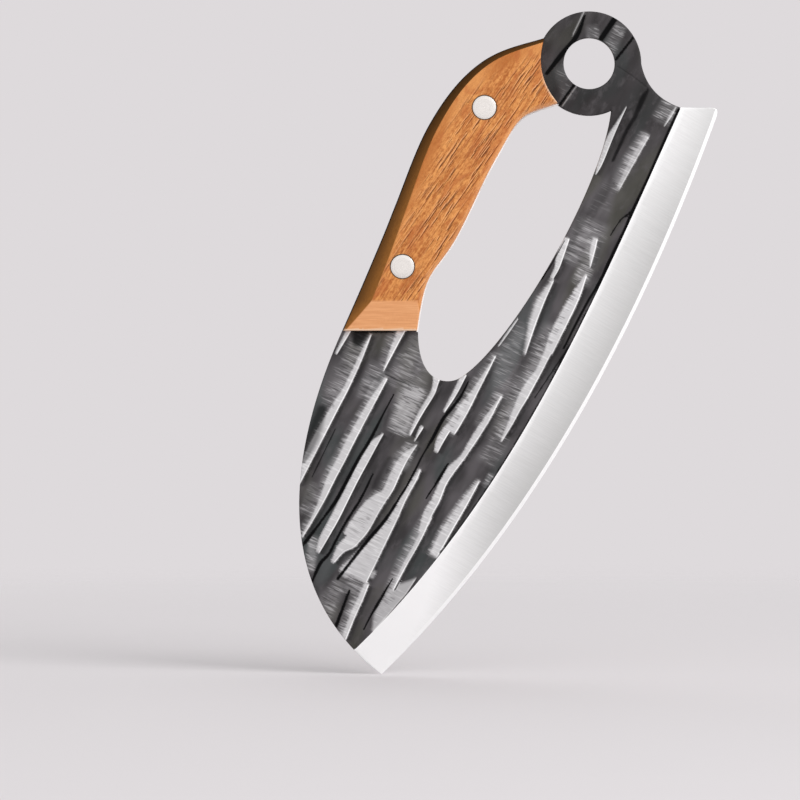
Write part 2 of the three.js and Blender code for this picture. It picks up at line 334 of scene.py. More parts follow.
@dataclass
class FlatMesh:
    """Triangles that fill a flat outline.

    Attributes:
        points: Corners, n by 2.
        triangles: Corner numbers of each triangle, counterclockwise.
        loops: Corner numbers of each bounding loop.
    """

    points: np.ndarray
    triangles: np.ndarray
    loops: list[np.ndarray]


def fill(loops: list[np.ndarray], lines: list[np.ndarray], loose: np.ndarray) -> FlatMesh:
    """Fills an outline with triangles that keep to given lines and points.

    Args:
        loops: Closed loops, the outer one first and then the holes.
        lines: Open lines that triangle sides follow; they touch no loop.
        loose: Further corners inside the outline.

    Returns:
        The triangles.
    """
    points: list[np.ndarray] = []
    edges: list[Pair] = []
    starts = []
    count = 0
    for line in [*loops, *lines]:
        starts.append(count)
        edges += [(count + i, count + i + 1) for i in range(len(line) - 1)]
        if len(starts) <= len(loops):
            edges.append((count + len(line) - 1, count))
        points.append(line)
        count += len(line)
    corners = np.concatenate([*points, loose])
    vectors = [Vector(corner) for corner in corners]
    made, _, faces, origins, _, _ = delaunay_2d_cdt(vectors, edges, [], 0, WELD)
    flat = np.array([(point.x, point.y) for point in made])
    triangles = np.array(faces)
    centres = flat[triangles].mean(1)
    kept = within(centres, loops)
    place = np.zeros(len(corners), int)
    for number, sources in enumerate(origins):
        place[sources] = number
    rims = [place[start:start + len(loop)] for start, loop in zip(starts, loops)]
    return FlatMesh(flat, triangles[kept], rims)


def inner_rows(loops: list[np.ndarray], depths: tuple[float, ...]) -> np.ndarray:
    """Rows of points that follow the loops on the inside of the outline.

    Args:
        loops: Loops, the outer one counterclockwise and the holes clockwise.
        depths: Distance of each row from the loop.

    Returns:
        The points that have their full distance from every loop.
    """
    rows = []
    for loop in loops:
        way = np.roll(loop, -1, 0) - np.roll(loop, 1, 0)
        inward = np.stack([-way[:, 1], way[:, 0]], 1) / np.linalg.norm(way, axis=1)[:, None]
        rows += [(loop + depth * inward, depth) for depth in depths]
    borders = [closed(loop) for loop in loops]
    return np.concatenate([row[clearance(row, borders, 1.0) > 0.9 * depth] for row, depth in rows])


class Shell:
    """Corners, faces and attributes of one closed piece."""

    def __init__(self) -> None:
        """Starts with no corners."""
        self.corners: list[np.ndarray] = []
        self.faces: list[list[int]] = []
        self.finishes: list[int] = []
        self.looks: dict[str, list[np.ndarray]] = {}
        self.count = 0

    def add(self, flat: np.ndarray, depth: np.ndarray, looks: dict[str, np.ndarray]) -> np.ndarray:
        """Adds corners.

        Args:
            flat: Their x and z.
            depth: Their y.
            looks: Values that the finishes read, by name.

        Returns:
            Their numbers.
        """
        numbers = self.count + np.arange(len(flat))
        self.corners.append(np.stack([flat[:, 0], np.broadcast_to(depth, len(flat)), flat[:, 1]], 1))
        for name in looks.keys() | self.looks.keys():
            rows = self.looks.setdefault(name, [np.zeros(self.count)])
            rows.append(np.broadcast_to(looks.get(name, 0.0), len(flat)))
        self.count += len(flat)
        return numbers

    def cover(self, numbers: np.ndarray, triangles: np.ndarray, face: Face, finish: np.ndarray) -> None:
        """Adds flat triangles that look to one side of the knife.

        Args:
            numbers: Corner numbers in the shell.
            triangles: Triangles as places in that list, counterclockwise seen from the front.
            face: Side that they look to.
            finish: Material place of each triangle.
        """
        turned = triangles if face is Face.FRONT else triangles[:, ::-1]
        self.faces += numbers[turned].tolist()
        self.finishes += np.broadcast_to(finish, len(triangles)).tolist()

    def band(self, low: np.ndarray, high: np.ndarray, finish: int) -> None:
        """Adds a wall between two loops; it looks right of their direction, low being nearer -y."""
        quads = np.stack([low, high, np.roll(high, -1), np.roll(low, -1)], 1)
        self.faces += quads.tolist()
        self.finishes += [finish] * len(quads)

    def finish(self, name: str, materials: list[bpy.types.Material], crease: float) -> bpy.types.Object:
        """Makes the object.

        Args:
            name: Name of the piece.
            materials: Materials, in the order that the faces count them.
            crease: Angle in degrees past which an edge is shaded sharp.

        Returns:
            The object, in metres.
        """
        mesh = bpy.data.meshes.new(name)
        mesh.from_pydata((np.concatenate(self.corners) * MM).tolist(), [], self.faces)
        for material in materials:
            mesh.materials.append(material)
        mesh.polygons.foreach_set("material_index", self.finishes)
        mesh.polygons.foreach_set("use_smooth", [True] * len(self.faces))
        for look, rows in self.looks.items():
            layer = mesh.attributes.new(look, "FLOAT", "POINT")
            layer.data.foreach_set("value", np.concatenate(rows).astype(np.float32))
        mesh.set_sharp_from_angle(angle=math.radians(crease))
        mesh.validate()
        piece = bpy.data.objects.new(name, mesh)
        bpy.context.collection.objects.link(piece)
        return piece


@dataclass(frozen=True)
class Outline:
    """Outline of the forged plate and of the grip on its tang."""

    tip: Pair = (0.0, 0.0)
    edge_chord: float = 221.0
    edge_chord_angle: float = 59.0
    edge_tip_angle: float = 44.0
    edge_heel_angle: float = 70.0
    bevel_width_ends: float = 12.4
    bevel_width_widest: float = 14.5
    bevel_widest_at: float = 0.7
    right: float = math.inf
    curve_points: int = 45
    heel_round: float = 3.4
    heel_top_width: float = 12.5
    neck_reach: float = 2.0
    neck_rise: float = 4.0
    ring_from_heel: Pair = (-43.3, 18.1)
    ring_radius: float = 17.7
    ring_bore_radius: float = 8.7
    grip_stations: Track = (
        (-10.2, -1.7, 22.9),
        (-29.8, -9.4, 23.9),
        (-43.0, -26.9, 25.8),
        (-55.2, -53.6, 23.9),
        (-64.6, -72.0, 20.4),
        (-72.8, -98.6, 26.9),
    )
    foot_drop: float = 91.0
    back_foot_arm: float = 35.2
    back_tip_arm: float = 53.0
    back_tip_angle: float = -37.0
    opening_low_from_foot: Pair = (13.5, -16.2)
    opening_low_angle: float = 27.0
    opening_foot_arm: float = 18.8
    opening_low_arm_in: float = 3.3
    opening_low_arm_out: float = 17.8
    opening_top_arm: float = 27.5
    opening_top_angle: float = 83.7
    opening_corner_angle: float = -65.0
    rivet_from_ring: float = 29.7
    rivet_spacing: float = 60.6
    step: float = 0.6
    samples: int = 600

    @classmethod
    def fitted(cls, low: Vector, high: Vector) -> "Outline":
        """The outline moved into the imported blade's box.

        Args:
            low: Lowest corner of the box, in metres.
            high: Highest corner of the box, in metres.

        Returns:
            The outline, its heel kept from passing the box's right side.
        """
        drawn = cls()
        corner = np.vstack([*drawn.plate_parts()]).min(0)
        return replace(drawn, tip=(low.x / MM - corner[0], low.z / MM - corner[1]), right=high.x / MM)

    @property
    def heel(self) -> np.ndarray:
        """Upper end of the cutting edge."""
        return np.array(self.tip) + self.edge_chord * direction(self.edge_chord_angle)

    @property
    def ring(self) -> np.ndarray:
        """Centre of the hanging ring."""
        return self.heel + np.array(self.ring_from_heel)

    @property
    def foot_height(self) -> float:
        """Height of the grip's lower end."""
        return self.ring[1] - self.foot_drop

    def edge(self) -> np.ndarray:
        """Points of the cutting edge, from the tip up to the heel."""
        tip, heel = np.array(self.tip), self.heel
        arm = self.edge_chord / 3.0
        low, high = direction(self.edge_tip_angle), direction(self.edge_heel_angle)
        return bezier([tip, tip + arm * low, heel - arm * high, heel], 240)

    def bevel_at(self, points: np.ndarray) -> tuple[np.ndarray, np.ndarray, np.ndarray]:
        """Where points lie on the cutting bevel.

        Args:
            points: Points of the plate.

        Returns:
            Distance from the edge, width of the bevel there, and share of the edge from the tip.
        """
        edge = self.edge()
        run = self.bevel_width_ends / 2.0
        line = np.vstack([
            edge[0] - run * direction(self.edge_tip_angle),
            edge,
            edge[-1] + run * direction(self.edge_heel_angle),
        ])
        place = beside(points, line)
        length = float(np.linalg.norm(np.diff(edge, axis=0), axis=1).sum())
        share = np.clip((place.along - run) / length, 0.0, 1.0)
        skewed = share ** (math.log(0.5) / math.log(self.bevel_widest_at))
        bulge = 4.0 * skewed * (1.0 - skewed)
        width = self.bevel_width_ends + (self.bevel_width_widest - self.bevel_width_ends) * bulge
        return -place.offset, width, share

    def grip_at(self, share: np.ndarray) -> tuple[np.ndarray, np.ndarray, np.ndarray]:
        """Centreline of the grip.

        Args:
            share: Shares of its length of stations, from 0 at the ring to 1 past the foot.

        Returns:
            Centres, unit vectors from the back of the grip to the opening, and widths.
        """
        rows = extended(np.array(self.grip_stations) + np.array([*self.ring, 0.0]))
        place = np.asarray(share) * (len(self.grip_stations) - 1)
        first = np.minimum(place.astype(int), len(self.grip_stations) - 2)
        here, slope = smooth_stretch(*(rows[first + k] for k in range(4)), (place - first)[:, None])
        across = np.stack([-slope[:, 1], slope[:, 0]], 1)
        across /= np.linalg.norm(across, axis=1)[:, None]
        return here[:, :2], across, here[:, 2]

    def grip_side(self, side: int, inset: float, foot: float) -> np.ndarray:
        """One side of the grip, from inside the ring down to a height.

        Args:
            side: -1 for the back of the grip and 1 for the side of the opening.
            inset: Distance inside the tang's border.
            foot: Height where the line ends.

        Returns:
            Points of the side.
        """
        centre, across, width = self.grip_at(np.linspace(0.0, 1.0, self.samples))
        line = centre + side * across * (width / 2.0 - inset)[:, None]
        return cut(line, line[:, 1] - foot)

    def tang_side(self, side: int) -> np.ndarray:
        """One border of the tang, from the ring's outline down to the grip's foot."""
        line = self.grip_side(side, 0.0, self.foot_height)[::-1]
        return cut(line, np.linalg.norm(line - self.ring, axis=1) - self.ring_radius)[::-1]

    def rivets(self) -> list[np.ndarray]:
        """Centres of the rivets on the grip's centreline, upper one first."""
        line = self.grip_at(np.linspace(0.0, 1.0, self.samples))[0]
        run = run_along(line)
        places = (self.rivet_from_ring, self.rivet_from_ring + self.rivet_spacing)
        return [np.array([np.interp(place, run, line[:, k]) for k in (0, 1)]) for place in places]

    def plate_parts(self) -> list[np.ndarray]:
        """Stretches of the outer outline, counterclockwise, the cutting edge first."""
        heel, ring = self.heel, self.ring
        corner = heel + self.heel_round * direction(self.edge_heel_angle)
        landing = corner - np.array([self.heel_round, 0.0])
        shoulder = np.array([heel[0] - self.heel_top_width, corner[1]])
        side = ring + np.array([self.ring_radius, 0.0])
        back = self.tang_side(-1)
        leave = back[0] - ring
        foot = back[-1]
        along = (foot - back[-3]) / np.linalg.norm(foot - back[-3])
        tip = np.array(self.tip)
        return [
            self.edge(),
            np.minimum(bezier([heel, corner, landing], self.curve_points), [self.right, math.inf]),
            np.array([landing, shoulder]),
            bezier([shoulder, side + np.array([self.neck_reach, 0.0]) + np.array(
                [0.0, corner[1] + self.neck_rise - side[1]]), side]),
            arc(ring, self.ring_radius, 0.0, math.degrees(math.atan2(leave[1], leave[0])) % 360.0),
            back,
            bezier([foot, foot + self.back_foot_arm * along,
                    tip - self.back_tip_arm * direction(self.back_tip_angle), tip], self.curve_points),
        ]

    def opening_parts(self) -> list[np.ndarray]:
        """Stretches of the hand opening, from the ring down the grip and up the blade."""
        ring = self.ring
        side = self.tang_side(1)
        foot = side[-1]
        low = foot + np.array(self.opening_low_from_foot)
        corner = ring + self.ring_radius * direction(self.opening_corner_angle)
        slant = direction(self.opening_low_angle)
        leave = side[0] - ring
        end = math.degrees(math.atan2(leave[1], leave[0]))
        return [
            side,
            bezier([foot, foot - np.array([0.0, self.opening_foot_arm]),
                    low - self.opening_low_arm_in * slant, low]),
            bezier([low, low + self.opening_low_arm_out * slant,
                    corner - self.opening_top_arm * direction(self.opening_top_angle), corner]),
            arc(ring, self.ring_radius, self.opening_corner_angle, end if end < 0.0 else end - 360.0),
        ]


def cut(line: np.ndarray, level: np.ndarray) -> np.ndarray:
    """The start of a line, up to where a level first drops through zero."""
    below = np.flatnonzero(level <= 0.0)
    if not len(below) or below[0] == 0:
        return line
    end = below[0]
    share = level[end - 1] / (level[end - 1] - level[end])
    return np.vstack([line[:end], line[end - 1] + share * (line[end] - line[end - 1])])


@dataclass(frozen=True)
class Flute:
    """Ridge that the hammer raised and the belt ground bright.

    Attributes:
        track: Points of its sharp side from the top down, each with x, z and the ridge's width.
        fade: How far the brushed slope runs out beyond the ridge.
        slope: How bright the start of the brushed slope is, from 0 to 1.
        shine: How bright the ridge itself is, from 0 to 1.
        soft: Half the width over which its far side runs out.
    """

    track: Track
    fade: float = 0.0
    slope: float = 0.8
    shine: float = 1.0
    soft: float = 0.35


@dataclass(frozen=True)
class Brushing:
    """Patch that the belt has only brushed.

    Attributes:
        track: Points of its middle from the top down, each with x, z and half its width.
        level: How bright it is, from 0 to 1.
        fade: How far it runs out past both ends.
    """

    track: Track
    level: float = 0.4
    fade: float = 2.0


@dataclass(frozen=True)
class Crease:
    """Deep groove between two ridges, darkened with painted shade.

    Attributes:
        track: Points of its middle from the top down, each with x, z and its width.
        depth: How deep the groove is and how dark its painted shade is, from 0 to 1.
    """

    track: Track
    depth: float = 1.0


@dataclass(frozen=True)
class Hammering:
    """Flutes, brushed patches and creases of one face of the plate."""

    flutes: tuple[Flute, ...]
    patches: tuple[Brushing, ...]
    creases: tuple[Crease, ...]
    shift: Pair = (0.0, 0.0)
    ridge_height: float = 0.2
    crease_depth: float = 0.16
    ripple: float = 0.03
    soot_heights: Triple = (165.0, 196.0, 216.0)
    soot_level: float = 0.7
    soot_least: float = 0.3
    shade_reach: float = 4.0
    end_run: float = 0.9
    lip_width: float = 2.0
    least_swell: float = 1.2

    def at(self, points: np.ndarray) -> dict[str, np.ndarray]:
        """Works the marks out at points of the plate.

        Args:
            points: Points of the plate.

        Returns:
            Distance inside a ridge's sharp side ("ridge", 0.5 on the side and 1 a millimetre inside;
            "lip", 0 on the side and 1 two millimetres inside, which also places a painted highlight on
            the side), brightness of the ridges ("shine") and of the brushed slopes ("brushed"), painted
            shade beside a sharp side ("shade"), painted shade in the folds ("crease"), dark scale near
            the ring ("soot") and depth below the face ("relief").
        """
        points = points - np.array(self.shift)
        count = len(points)
        looks = {name: np.zeros(count) for name in ("ridge", "lip", "shine", "brushed", "shade", "crease")}
        best = np.zeros(count)
        rise = np.zeros(count)
        for flute in self.flutes:
            near, place, width = self.beside_track(points, flute.track, flute.fade + self.shade_reach)
            depth = place.offset
            ends = 1.0 - smooth(0.0, self.end_run, place.past)
            shine = flute.shine * ends * (1.0 - smooth(-flute.soft, flute.soft, depth - width))
            score = np.where(depth < 0.0, shine - 0.15, shine) * (depth > -0.5)
            ahead = score > best[near]
            chosen = near[ahead]
            best[chosen] = score[ahead]
            looks["shine"][chosen] = shine[ahead]
            looks["ridge"][chosen] = 0.5 + 0.5 * np.clip(depth[ahead], -1.0, 1.0)
            looks["lip"][chosen] = np.clip(depth[ahead] / self.lip_width, 0.0, 1.0)
            beyond = np.clip((depth - width) / max(flute.fade, 0.01), 0.0, 1.0)
            slope = flute.slope * (1.0 - beyond) ** 1.5 * smooth(-0.15, 0.1, depth)
            slope *= 1.0 - smooth(0.0, 1.0 + flute.fade / 3.0, place.past)
            if flute.fade > 0.0:
                looks["brushed"][near] = np.maximum(looks["brushed"][near], slope)
            shade = flute.shine * ends * (1.0 - smooth(0.5, self.shade_reach, np.abs(depth))) * (depth < 0.3)
            looks["shade"][near] = np.maximum(looks["shade"][near], shade)
            swell = 1.0 - smooth(0.0, max(flute.fade, self.least_swell), depth - width)
            hill = np.minimum(smooth(-0.25, 0.3, depth), swell) * ends
            rise[near] = np.maximum(rise[near], hill)
        for patch in self.patches:
            near, place, width = self.beside_track(points, patch.track, patch.fade + 1.0)
            level = patch.level * (1.0 - smooth(0.3, 1.0, np.abs(place.offset) / width))
            level *= 1.0 - smooth(0.0, patch.fade, place.past)
            looks["brushed"][near] = np.maximum(looks["brushed"][near], level)
        for crease in self.creases:
            near, place, width = self.beside_track(points, crease.track, 1.0)
            away = np.hypot(place.offset, place.past) / np.maximum(width, 0.1)
            dark = crease.depth * (1.0 - smooth(0.2, 0.8, away))
            looks["crease"][near] = np.maximum(looks["crease"][near], dark)
        x, z = points.T
        start, most, top = self.soot_heights
        looks["soot"] = smooth(start, most, z) * (self.soot_level - self.soot_least * smooth(most, top, z))
        wave = np.sin(0.55 * x + 0.21 * z) + np.sin(0.37 * z - 0.29 * x + 1.3)
        relief = self.ridge_height * (1.0 - rise) + self.crease_depth * looks["crease"]
        looks["relief"] = relief + self.ripple * (1.0 + wave / 2.0)
        return looks

    def lines(self) -> list[np.ndarray]:
        """Lines of the sharp sides and of the creases."""
        tracks = [mark.track for mark in (*self.flutes, *self.creases)]
        return [rounded(np.array(track))[0] + np.array(self.shift) for track in tracks]

    @staticmethod
    def beside_track(points: np.ndarray, track: Track,
                     reach: float) -> tuple[np.ndarray, Nearest, np.ndarray]:
        """Points near a track.

        Args:
            points: Points of the plate.
            track: Rows of x, z and width.
            reach: How far past the track's own width points still count.

        Returns:
            Places of those points in the list, where they lie beside the track, and its width there.
        """
        line, widths, run = rounded(np.array(track))
        near = close_to(points, line, float(widths.max()) + reach)
        place = beside(points[near], line)
        return near, place, np.interp(place.along, run, widths)


def rounded(track: np.ndarray, steps: int = 6) -> tuple[np.ndarray, np.ndarray, np.ndarray]:
    """Smooth line through the points of a track.

    Args:
        track: Rows of x, z and width.
        steps: Points for each stretch between two rows.

    Returns:
        Points of the line, width at each point, and length run to each point.
    """
    rows = extended(track)
    share = np.linspace(0.0, 1.0, steps, endpoint=False)[:, None]
    parts = [smooth_stretch(*four, share)[0] for four in zip(rows, rows[1:], rows[2:], rows[3:])]
    line = np.vstack([*parts, track[-1:]])
    return line[:, :2], np.maximum(line[:, 2], 0.0), run_along(line[:, :2])


FLUTES = (
    Flute(((-53.5, 116.5, 1.5), (-58.0, 109.0, 0.8))),
    Flute(((-46.6, 115.0, 0.6), (-49.9, 106.4, 1.5), (-54.1, 97.2, 1.8), (-57.0, 91.6, 2.2)), 8.0,
           0.34),
    Flute(((-56.2, 93.2, 2.2), (-63.5, 78.9, 3.2), (-70.8, 64.6, 2.4)), 1.5, 0.4),
    Flute(((-34.5, 117.5, 2.8), (-37.5, 112.0, 2.0), (-42.0, 103.5, 0.4)), 4.0, 0.3),
    Flute(((-41.2, 100.0, 1.0), (-45.6, 91.6, 2.2), (-51.9, 79.6, 2.7), (-55.3, 72.8, 2.7),
           (-58.9, 66.0, 2.8), (-62.3, 59.2, 1.9), (-66.2, 52.4, 1.0), (-69.5, 47.0, 0.8)), 2.4, 0.45),
    Flute(((-42.6, 81.2, 0.6), (-44.4, 78.0, 2.4), (-47.2, 72.8, 3.2), (-50.9, 66.0, 2.8),
           (-54.3, 59.2, 2.9), (-57.7, 52.4, 2.9), (-61.6, 45.6, 2.7), (-64.0, 41.5, 1.4))),
    Flute(((-22.9, 101.1, 2.8), (-24.0, 98.0, 1.8), (-25.2, 94.8, 1.6), (-29.1, 88.5, 1.5),
           (-33.0, 81.5, 0.8))),
    Flute(((-29.0, 83.5, 1.2), (-31.5, 79.5, 0.4))),
    Flute(((-31.2, 77.5, 0.4), (-34.2, 72.8, 2.6), (-36.9, 67.4, 3.2), (-38.8, 63.1, 3.2),
           (-40.6, 60.2, 3.0)), 3.0, 0.45),
    Flute(((-40.2, 61.0, 2.6), (-41.6, 58.8, 4.2), (-43.9, 55.1, 5.8), (-47.3, 49.0, 6.7),
           (-50.4, 45.2, 6.2), (-52.6, 43.0, 5.0), (-55.8, 41.5, 3.0), (-58.8, 38.2, 1.2)), 0.6,
           shine=0.95),
    Flute(((-29.9, 68.9, 0.5), (-31.1, 66.0, 1.2), (-34.6, 59.6, 1.8), (-37.8, 52.4, 3.0),
           (-41.1, 45.6, 4.2), (-44.6, 38.4, 7.0), (-46.8, 33.9, 9.0), (-48.0, 31.4, 9.6)), 1.2,
           shine=0.92),
    Flute(((-47.5, 30.0, 1.6), (-49.5, 25.0, 1.8), (-52.0, 19.5, 1.9), (-55.0, 12.0, 1.6)), 3.0, 0.6),
    Flute(((-31.4, 32.4, 0.2), (-32.8, 30.2, 2.2), (-34.8, 27.2, 5.0), (-37.6, 24.0, 5.4),
           (-42.4, 18.3, 4.0), (-45.6, 14.8, 0.8)), shine=0.72, soft=0.9),
    Flute(((-14.3, 101.3, 1.8), (-17.6, 95.0, 1.5), (-21.3, 89.4, 0.8))),
    Flute(((-4.4, 107.6, 0.4), (-7.6, 101.2, 1.2), (-10.5, 95.4, 2.2), (-13.4, 89.6, 3.6),
           (-16.7, 83.8, 3.7), (-18.0, 81.8, 2.6)), 3.0, 0.42),
    Flute(((-17.5, 86.0, 1.6), (-19.9, 82.4, 2.5), (-22.2, 78.6, 2.5), (-23.8, 75.6, 1.5))),
    Flute(((-2.4, 94.0, 0.4), (-8.0, 83.6, 2.1), (-14.0, 74.5, 1.6), (-15.5, 72.4, 1.7),
           (-18.5, 68.4, 2.6), (-21.1, 64.3, 2.4), (-23.3, 58.8, 2.5), (-25.9, 54.0, 2.9),
           (-28.5, 48.0, 2.0)), 0.6),
    Flute(((3.2, 120.4, 0.4), (0.5, 116.4, 0.7), (-3.0, 111.6, 0.4)), shine=0.8),
    Flute(((-26.0, 53.0, 1.2), (-30.5, 44.0, 1.4), (-34.5, 37.0, 1.3), (-39.0, 28.5, 0.6)), 3.4, 0.6),
    Flute(((-2.2, 93.8, 0.4), (-7.4, 84.2, 1.0)), 4.2, 0.6),
    Flute(((26.6, 135.0, 0.8), (23.6, 126.5, 2.9), (18.0, 115.0, 3.6), (15.0, 109.0, 2.8)), 0.9),
    Flute(((18.0, 115.0, 2.2), (14.0, 107.8, 2.4), (11.5, 102.9, 2.1), (9.0, 98.3, 2.9),
           (6.5, 93.7, 3.2), (4.0, 89.6, 2.4), (1.5, 85.0, 1.7), (-2.0, 79.3, 0.6)), 6.5, 0.46),
    Flute(((30.3, 147.4, 1.7), (29.4, 143.5, 1.7), (28.0, 138.5, 0.3)), 5.0, 0.45),
    Flute(((20.7, 147.5, 2.2), (18.6, 141.4, 2.4), (17.2, 137.7, 1.6), (15.4, 134.6, 1.2))),
    Flute(((15.3, 133.3, 0.8), (13.2, 128.6, 2.0), (11.9, 125.5, 2.6), (9.3, 118.8, 2.2),
           (6.0, 109.0, 0.5)), 1.6, 0.3, soft=0.8),
    Flute(((-10.0, 65.0, 0.5), (-14.0, 57.5, 2.2), (-19.5, 48.0, 3.2), (-24.0, 40.0, 2.8)), 1.6),
    Flute(((47.5, 182.0, 1.2), (43.0, 174.0, 1.8), (38.0, 165.0, 1.2)), 3.4, 0.45, 0.5),
    Flute(((57.0, 192.4, 0.4), (55.4, 189.4, 0.9), (53.3, 186.4, 0.3)), shine=0.6),
    Flute(((40.0, 192.3, 0.2), (37.6, 187.0, 1.0), (35.3, 181.6, 2.0), (32.0, 173.5, 1.8),
           (30.0, 170.0, 0.4)), shine=0.85),
    Flute(((25.8, 224.8, 0.5), (22.0, 217.0, 0.3)), shine=0.34),
    Flute(((18.3, 193.3, 0.3), (23.0, 200.0, 0.4)), shine=0.34),
)

PATCHES = (
    Brushing(((-31.8, 97.3, 6.0), (-34.5, 90.0, 6.0), (-37.2, 82.5, 5.0)), 0.6, 1.5),
    Brushing(((-31.0, 113.0, 4.0), (-33.5, 104.0, 8.5), (-34.5, 98.5, 9.0)), 0.16, 3.0),
    Brushing(((-45.0, 103.5, 4.0), (-48.5, 96.0, 4.0)), 0.2, 4.0),
    Brushing(((-44.8, 99.0, 2.5), (-47.2, 94.5, 2.5)), 0.45, 1.5),
    Brushing(((55.5, 194.0, 4.5), (53.0, 189.0, 5.0)), 0.3, 3.0),
    Brushing(((34.0, 166.0, 4.0), (31.0, 158.0, 6.0)), 0.05, 4.0),
    Brushing(((28.5, 152.0, 7.5), (24.0, 141.0, 8.0)), 0.2, 4.0),
    Brushing(((26.5, 139.0, 3.5), (25.0, 134.0, 4.0)), 0.34, 3.0),
    Brushing(((4.0, 117.0, 4.0), (-0.5, 107.0, 6.0), (-2.0, 98.0, 4.5)), 0.13, 4.0),
    Brushing(((-26.0, 33.0, 4.0), (-30.0, 26.0, 4.0)), 0.16, 3.0),
    Brushing(((-2.5, 80.0, 4.5), (-7.0, 73.0, 5.0)), 0.14, 3.0),
    Brushing(((-5.5, 67.5, 2.0), (-7.5, 64.0, 2.0)), 0.3, 1.0),
    Brushing(((-33.5, 77.0, 3.0), (-36.5, 72.0, 4.0)), 0.4, 3.0),
    Brushing(((-43.5, 61.0, 3.6), (-46.5, 57.0, 4.0)), 0.4, 1.5),
    Brushing(((-52.0, 31.5, 4.5), (-53.5, 28.5, 4.5)), 0.36, 2.0),
    Brushing(((-54.6, 35.2, 2.2), (-55.8, 33.4, 2.0)), 0.75, 0.8),
    Brushing(((-45.4, 35.0, 1.0), (-46.6, 32.8, 1.2)), 0.6, 0.6),
    Brushing(((-57.0, 31.0, 3.5), (-62.5, 22.0, 5.0)), 0.22, 3.0),
    Brushing(((-66.0, 63.0, 3.0), (-69.0, 56.0, 3.0)), 0.16, 3.0),
    Brushing(((-66.0, 45.0, 2.6), (-67.5, 37.0, 2.6)), 0.45, 3.0),
    Brushing(((28.5, 219.0, 3.0), (29.0, 214.0, 3.0)), 0.18, 2.5),
    Brushing(((38.0, 219.5, 3.0), (34.5, 212.5, 3.5)), 0.18, 3.0),
    Brushing(((18.0, 205.0, 3.5), (20.0, 197.0, 3.0)), 0.07, 3.0),
)

# Each crease is a shallow groove whose darkness is painted shade.
CREASES = (
    Crease(((-58.8, 83.3, 0.5), (-66.7, 67.0, 0.5)), 0.7),
    Crease(((-63.5, 89.8, 4.0), (-66.0, 82.0, 5.5), (-68.3, 75.8, 4.0), (-69.6, 72.5, 2.0)), 0.55),
    Crease(((-50.2, 116.4, 7.0), (-51.0, 113.4, 5.0)), 0.72),
    # Painted shadow that the grip's foot casts on the plate below it.
    Crease(((-52.0, 116.3, 0.7), (-38.5, 116.3, 0.7)), 0.8),
    Crease(((-39.0, 95.0, 0.4), (-44.0, 85.4, 0.8), (-47.0, 79.6, 1.1), (-51.1, 72.8, 1.2),
            (-54.7, 66.0, 1.2), (-58.4, 59.2, 1.3), (-63.3, 52.4, 0.8), (-68.4, 45.6, 1.2),
            (-70.1, 43.9, 0.8))),
    Crease(((-46.0, 68.0, 0.4), (-47.0, 66.0, 0.7), (-50.4, 59.2, 0.9), (-54.7, 52.4, 0.9),
            (-58.5, 45.6, 0.9), (-60.8, 41.1, 1.0), (-64.0, 37.5, 1.2), (-66.7, 31.4, 0.8))),
    Crease(((-13.6, 99.5, 0.5), (-16.1, 94.5, 1.0), (-19.2, 90.4, 1.1), (-22.4, 86.4, 1.2),
            (-25.8, 80.0, 1.1), (-28.0, 76.4, 0.6), (-30.0, 72.8, 0.7), (-33.4, 66.0, 0.8),
            (-37.5, 59.2, 0.9), (-41.9, 52.4, 1.2), (-47.7, 45.6, 1.2), (-53.6, 38.1, 1.1),
            (-58.0, 32.4, 1.0))),
    Crease(((-20.4, 71.6, 0.6), (-22.0, 69.0, 1.0), (-23.9, 65.8, 0.9), (-26.2, 62.4, 0.5),
            (-28.0, 59.6, 0.3))),
    Crease(((-40.3, 72.8, 3.2), (-42.8, 68.2, 4.0), (-45.2, 63.4, 3.0)), 0.45),
    Crease(((-54.0, 28.5, 0.8), (-58.5, 16.5, 1.2))),
    Crease(((-39.4, 32.4, 0.4), (-43.9, 24.7, 1.0), (-46.5, 20.2, 0.7), (-49.1, 15.3, 0.4))),
    Crease(((-41.8, 102.0, 0.5), (-34.5, 98.6, 0.7), (-30.5, 97.2, 0.4)), 0.6),
    Crease(((-17.0, 48.0, 0.7), (-23.0, 41.5, 0.8)), 0.8),
    Crease(((21.0, 112.0, 0.8), (9.0, 94.0, 0.5)), 0.7),
    Crease(((43.2, 158.5, 1.3), (40.6, 156.2, 0.9), (38.1, 154.3, 0.6), (34.6, 149.0, 0.4)), 0.8),
    Crease(((35.0, 141.4, 0.4), (31.2, 134.0, 0.6), (27.3, 127.2, 0.8), (21.9, 117.0, 0.8),
            (18.8, 110.8, 0.6))),
    Crease(((19.0, 147.2, 0.4), (15.1, 140.0, 0.5), (11.2, 134.1, 0.5)), 0.8),
    Crease(((25.9, 223.6, 0.8), (23.1, 216.6, 1.6), (17.9, 210.3, 1.7), (13.0, 204.1, 1.2))),
    Crease(((36.0, 222.5, 1.9), (31.5, 215.9, 1.8))),
    Crease(((42.3, 216.2, 0.9), (36.6, 208.9, 0.9))),
    Crease(((22.4, 200.3, 0.9), (17.5, 193.6, 0.9))),
    Crease(((47.5, 198.6, 1.0), (45.6, 195.4, 2.2), (43.0, 189.4, 1.6), (40.2, 184.6, 1.4),
            (35.5, 174.5, 1.2)), 0.66),
    Crease(((37.1, 206.6, 0.5), (42.0, 203.4, 0.7), (47.5, 199.2, 0.7)), 0.42),
    Crease(((58.0, 191.6, 1.7), (53.7, 182.0, 1.7), (47.4, 168.0, 1.5), (42.9, 158.9, 1.2),
            (38.9, 149.9, 1.0), (34.6, 141.4, 0.9), (31.2, 134.0, 0.7)), 0.9),
    Crease(((1.8, 121.0, 0.6), (-4.2, 114.0, 0.6)), 0.9),
)


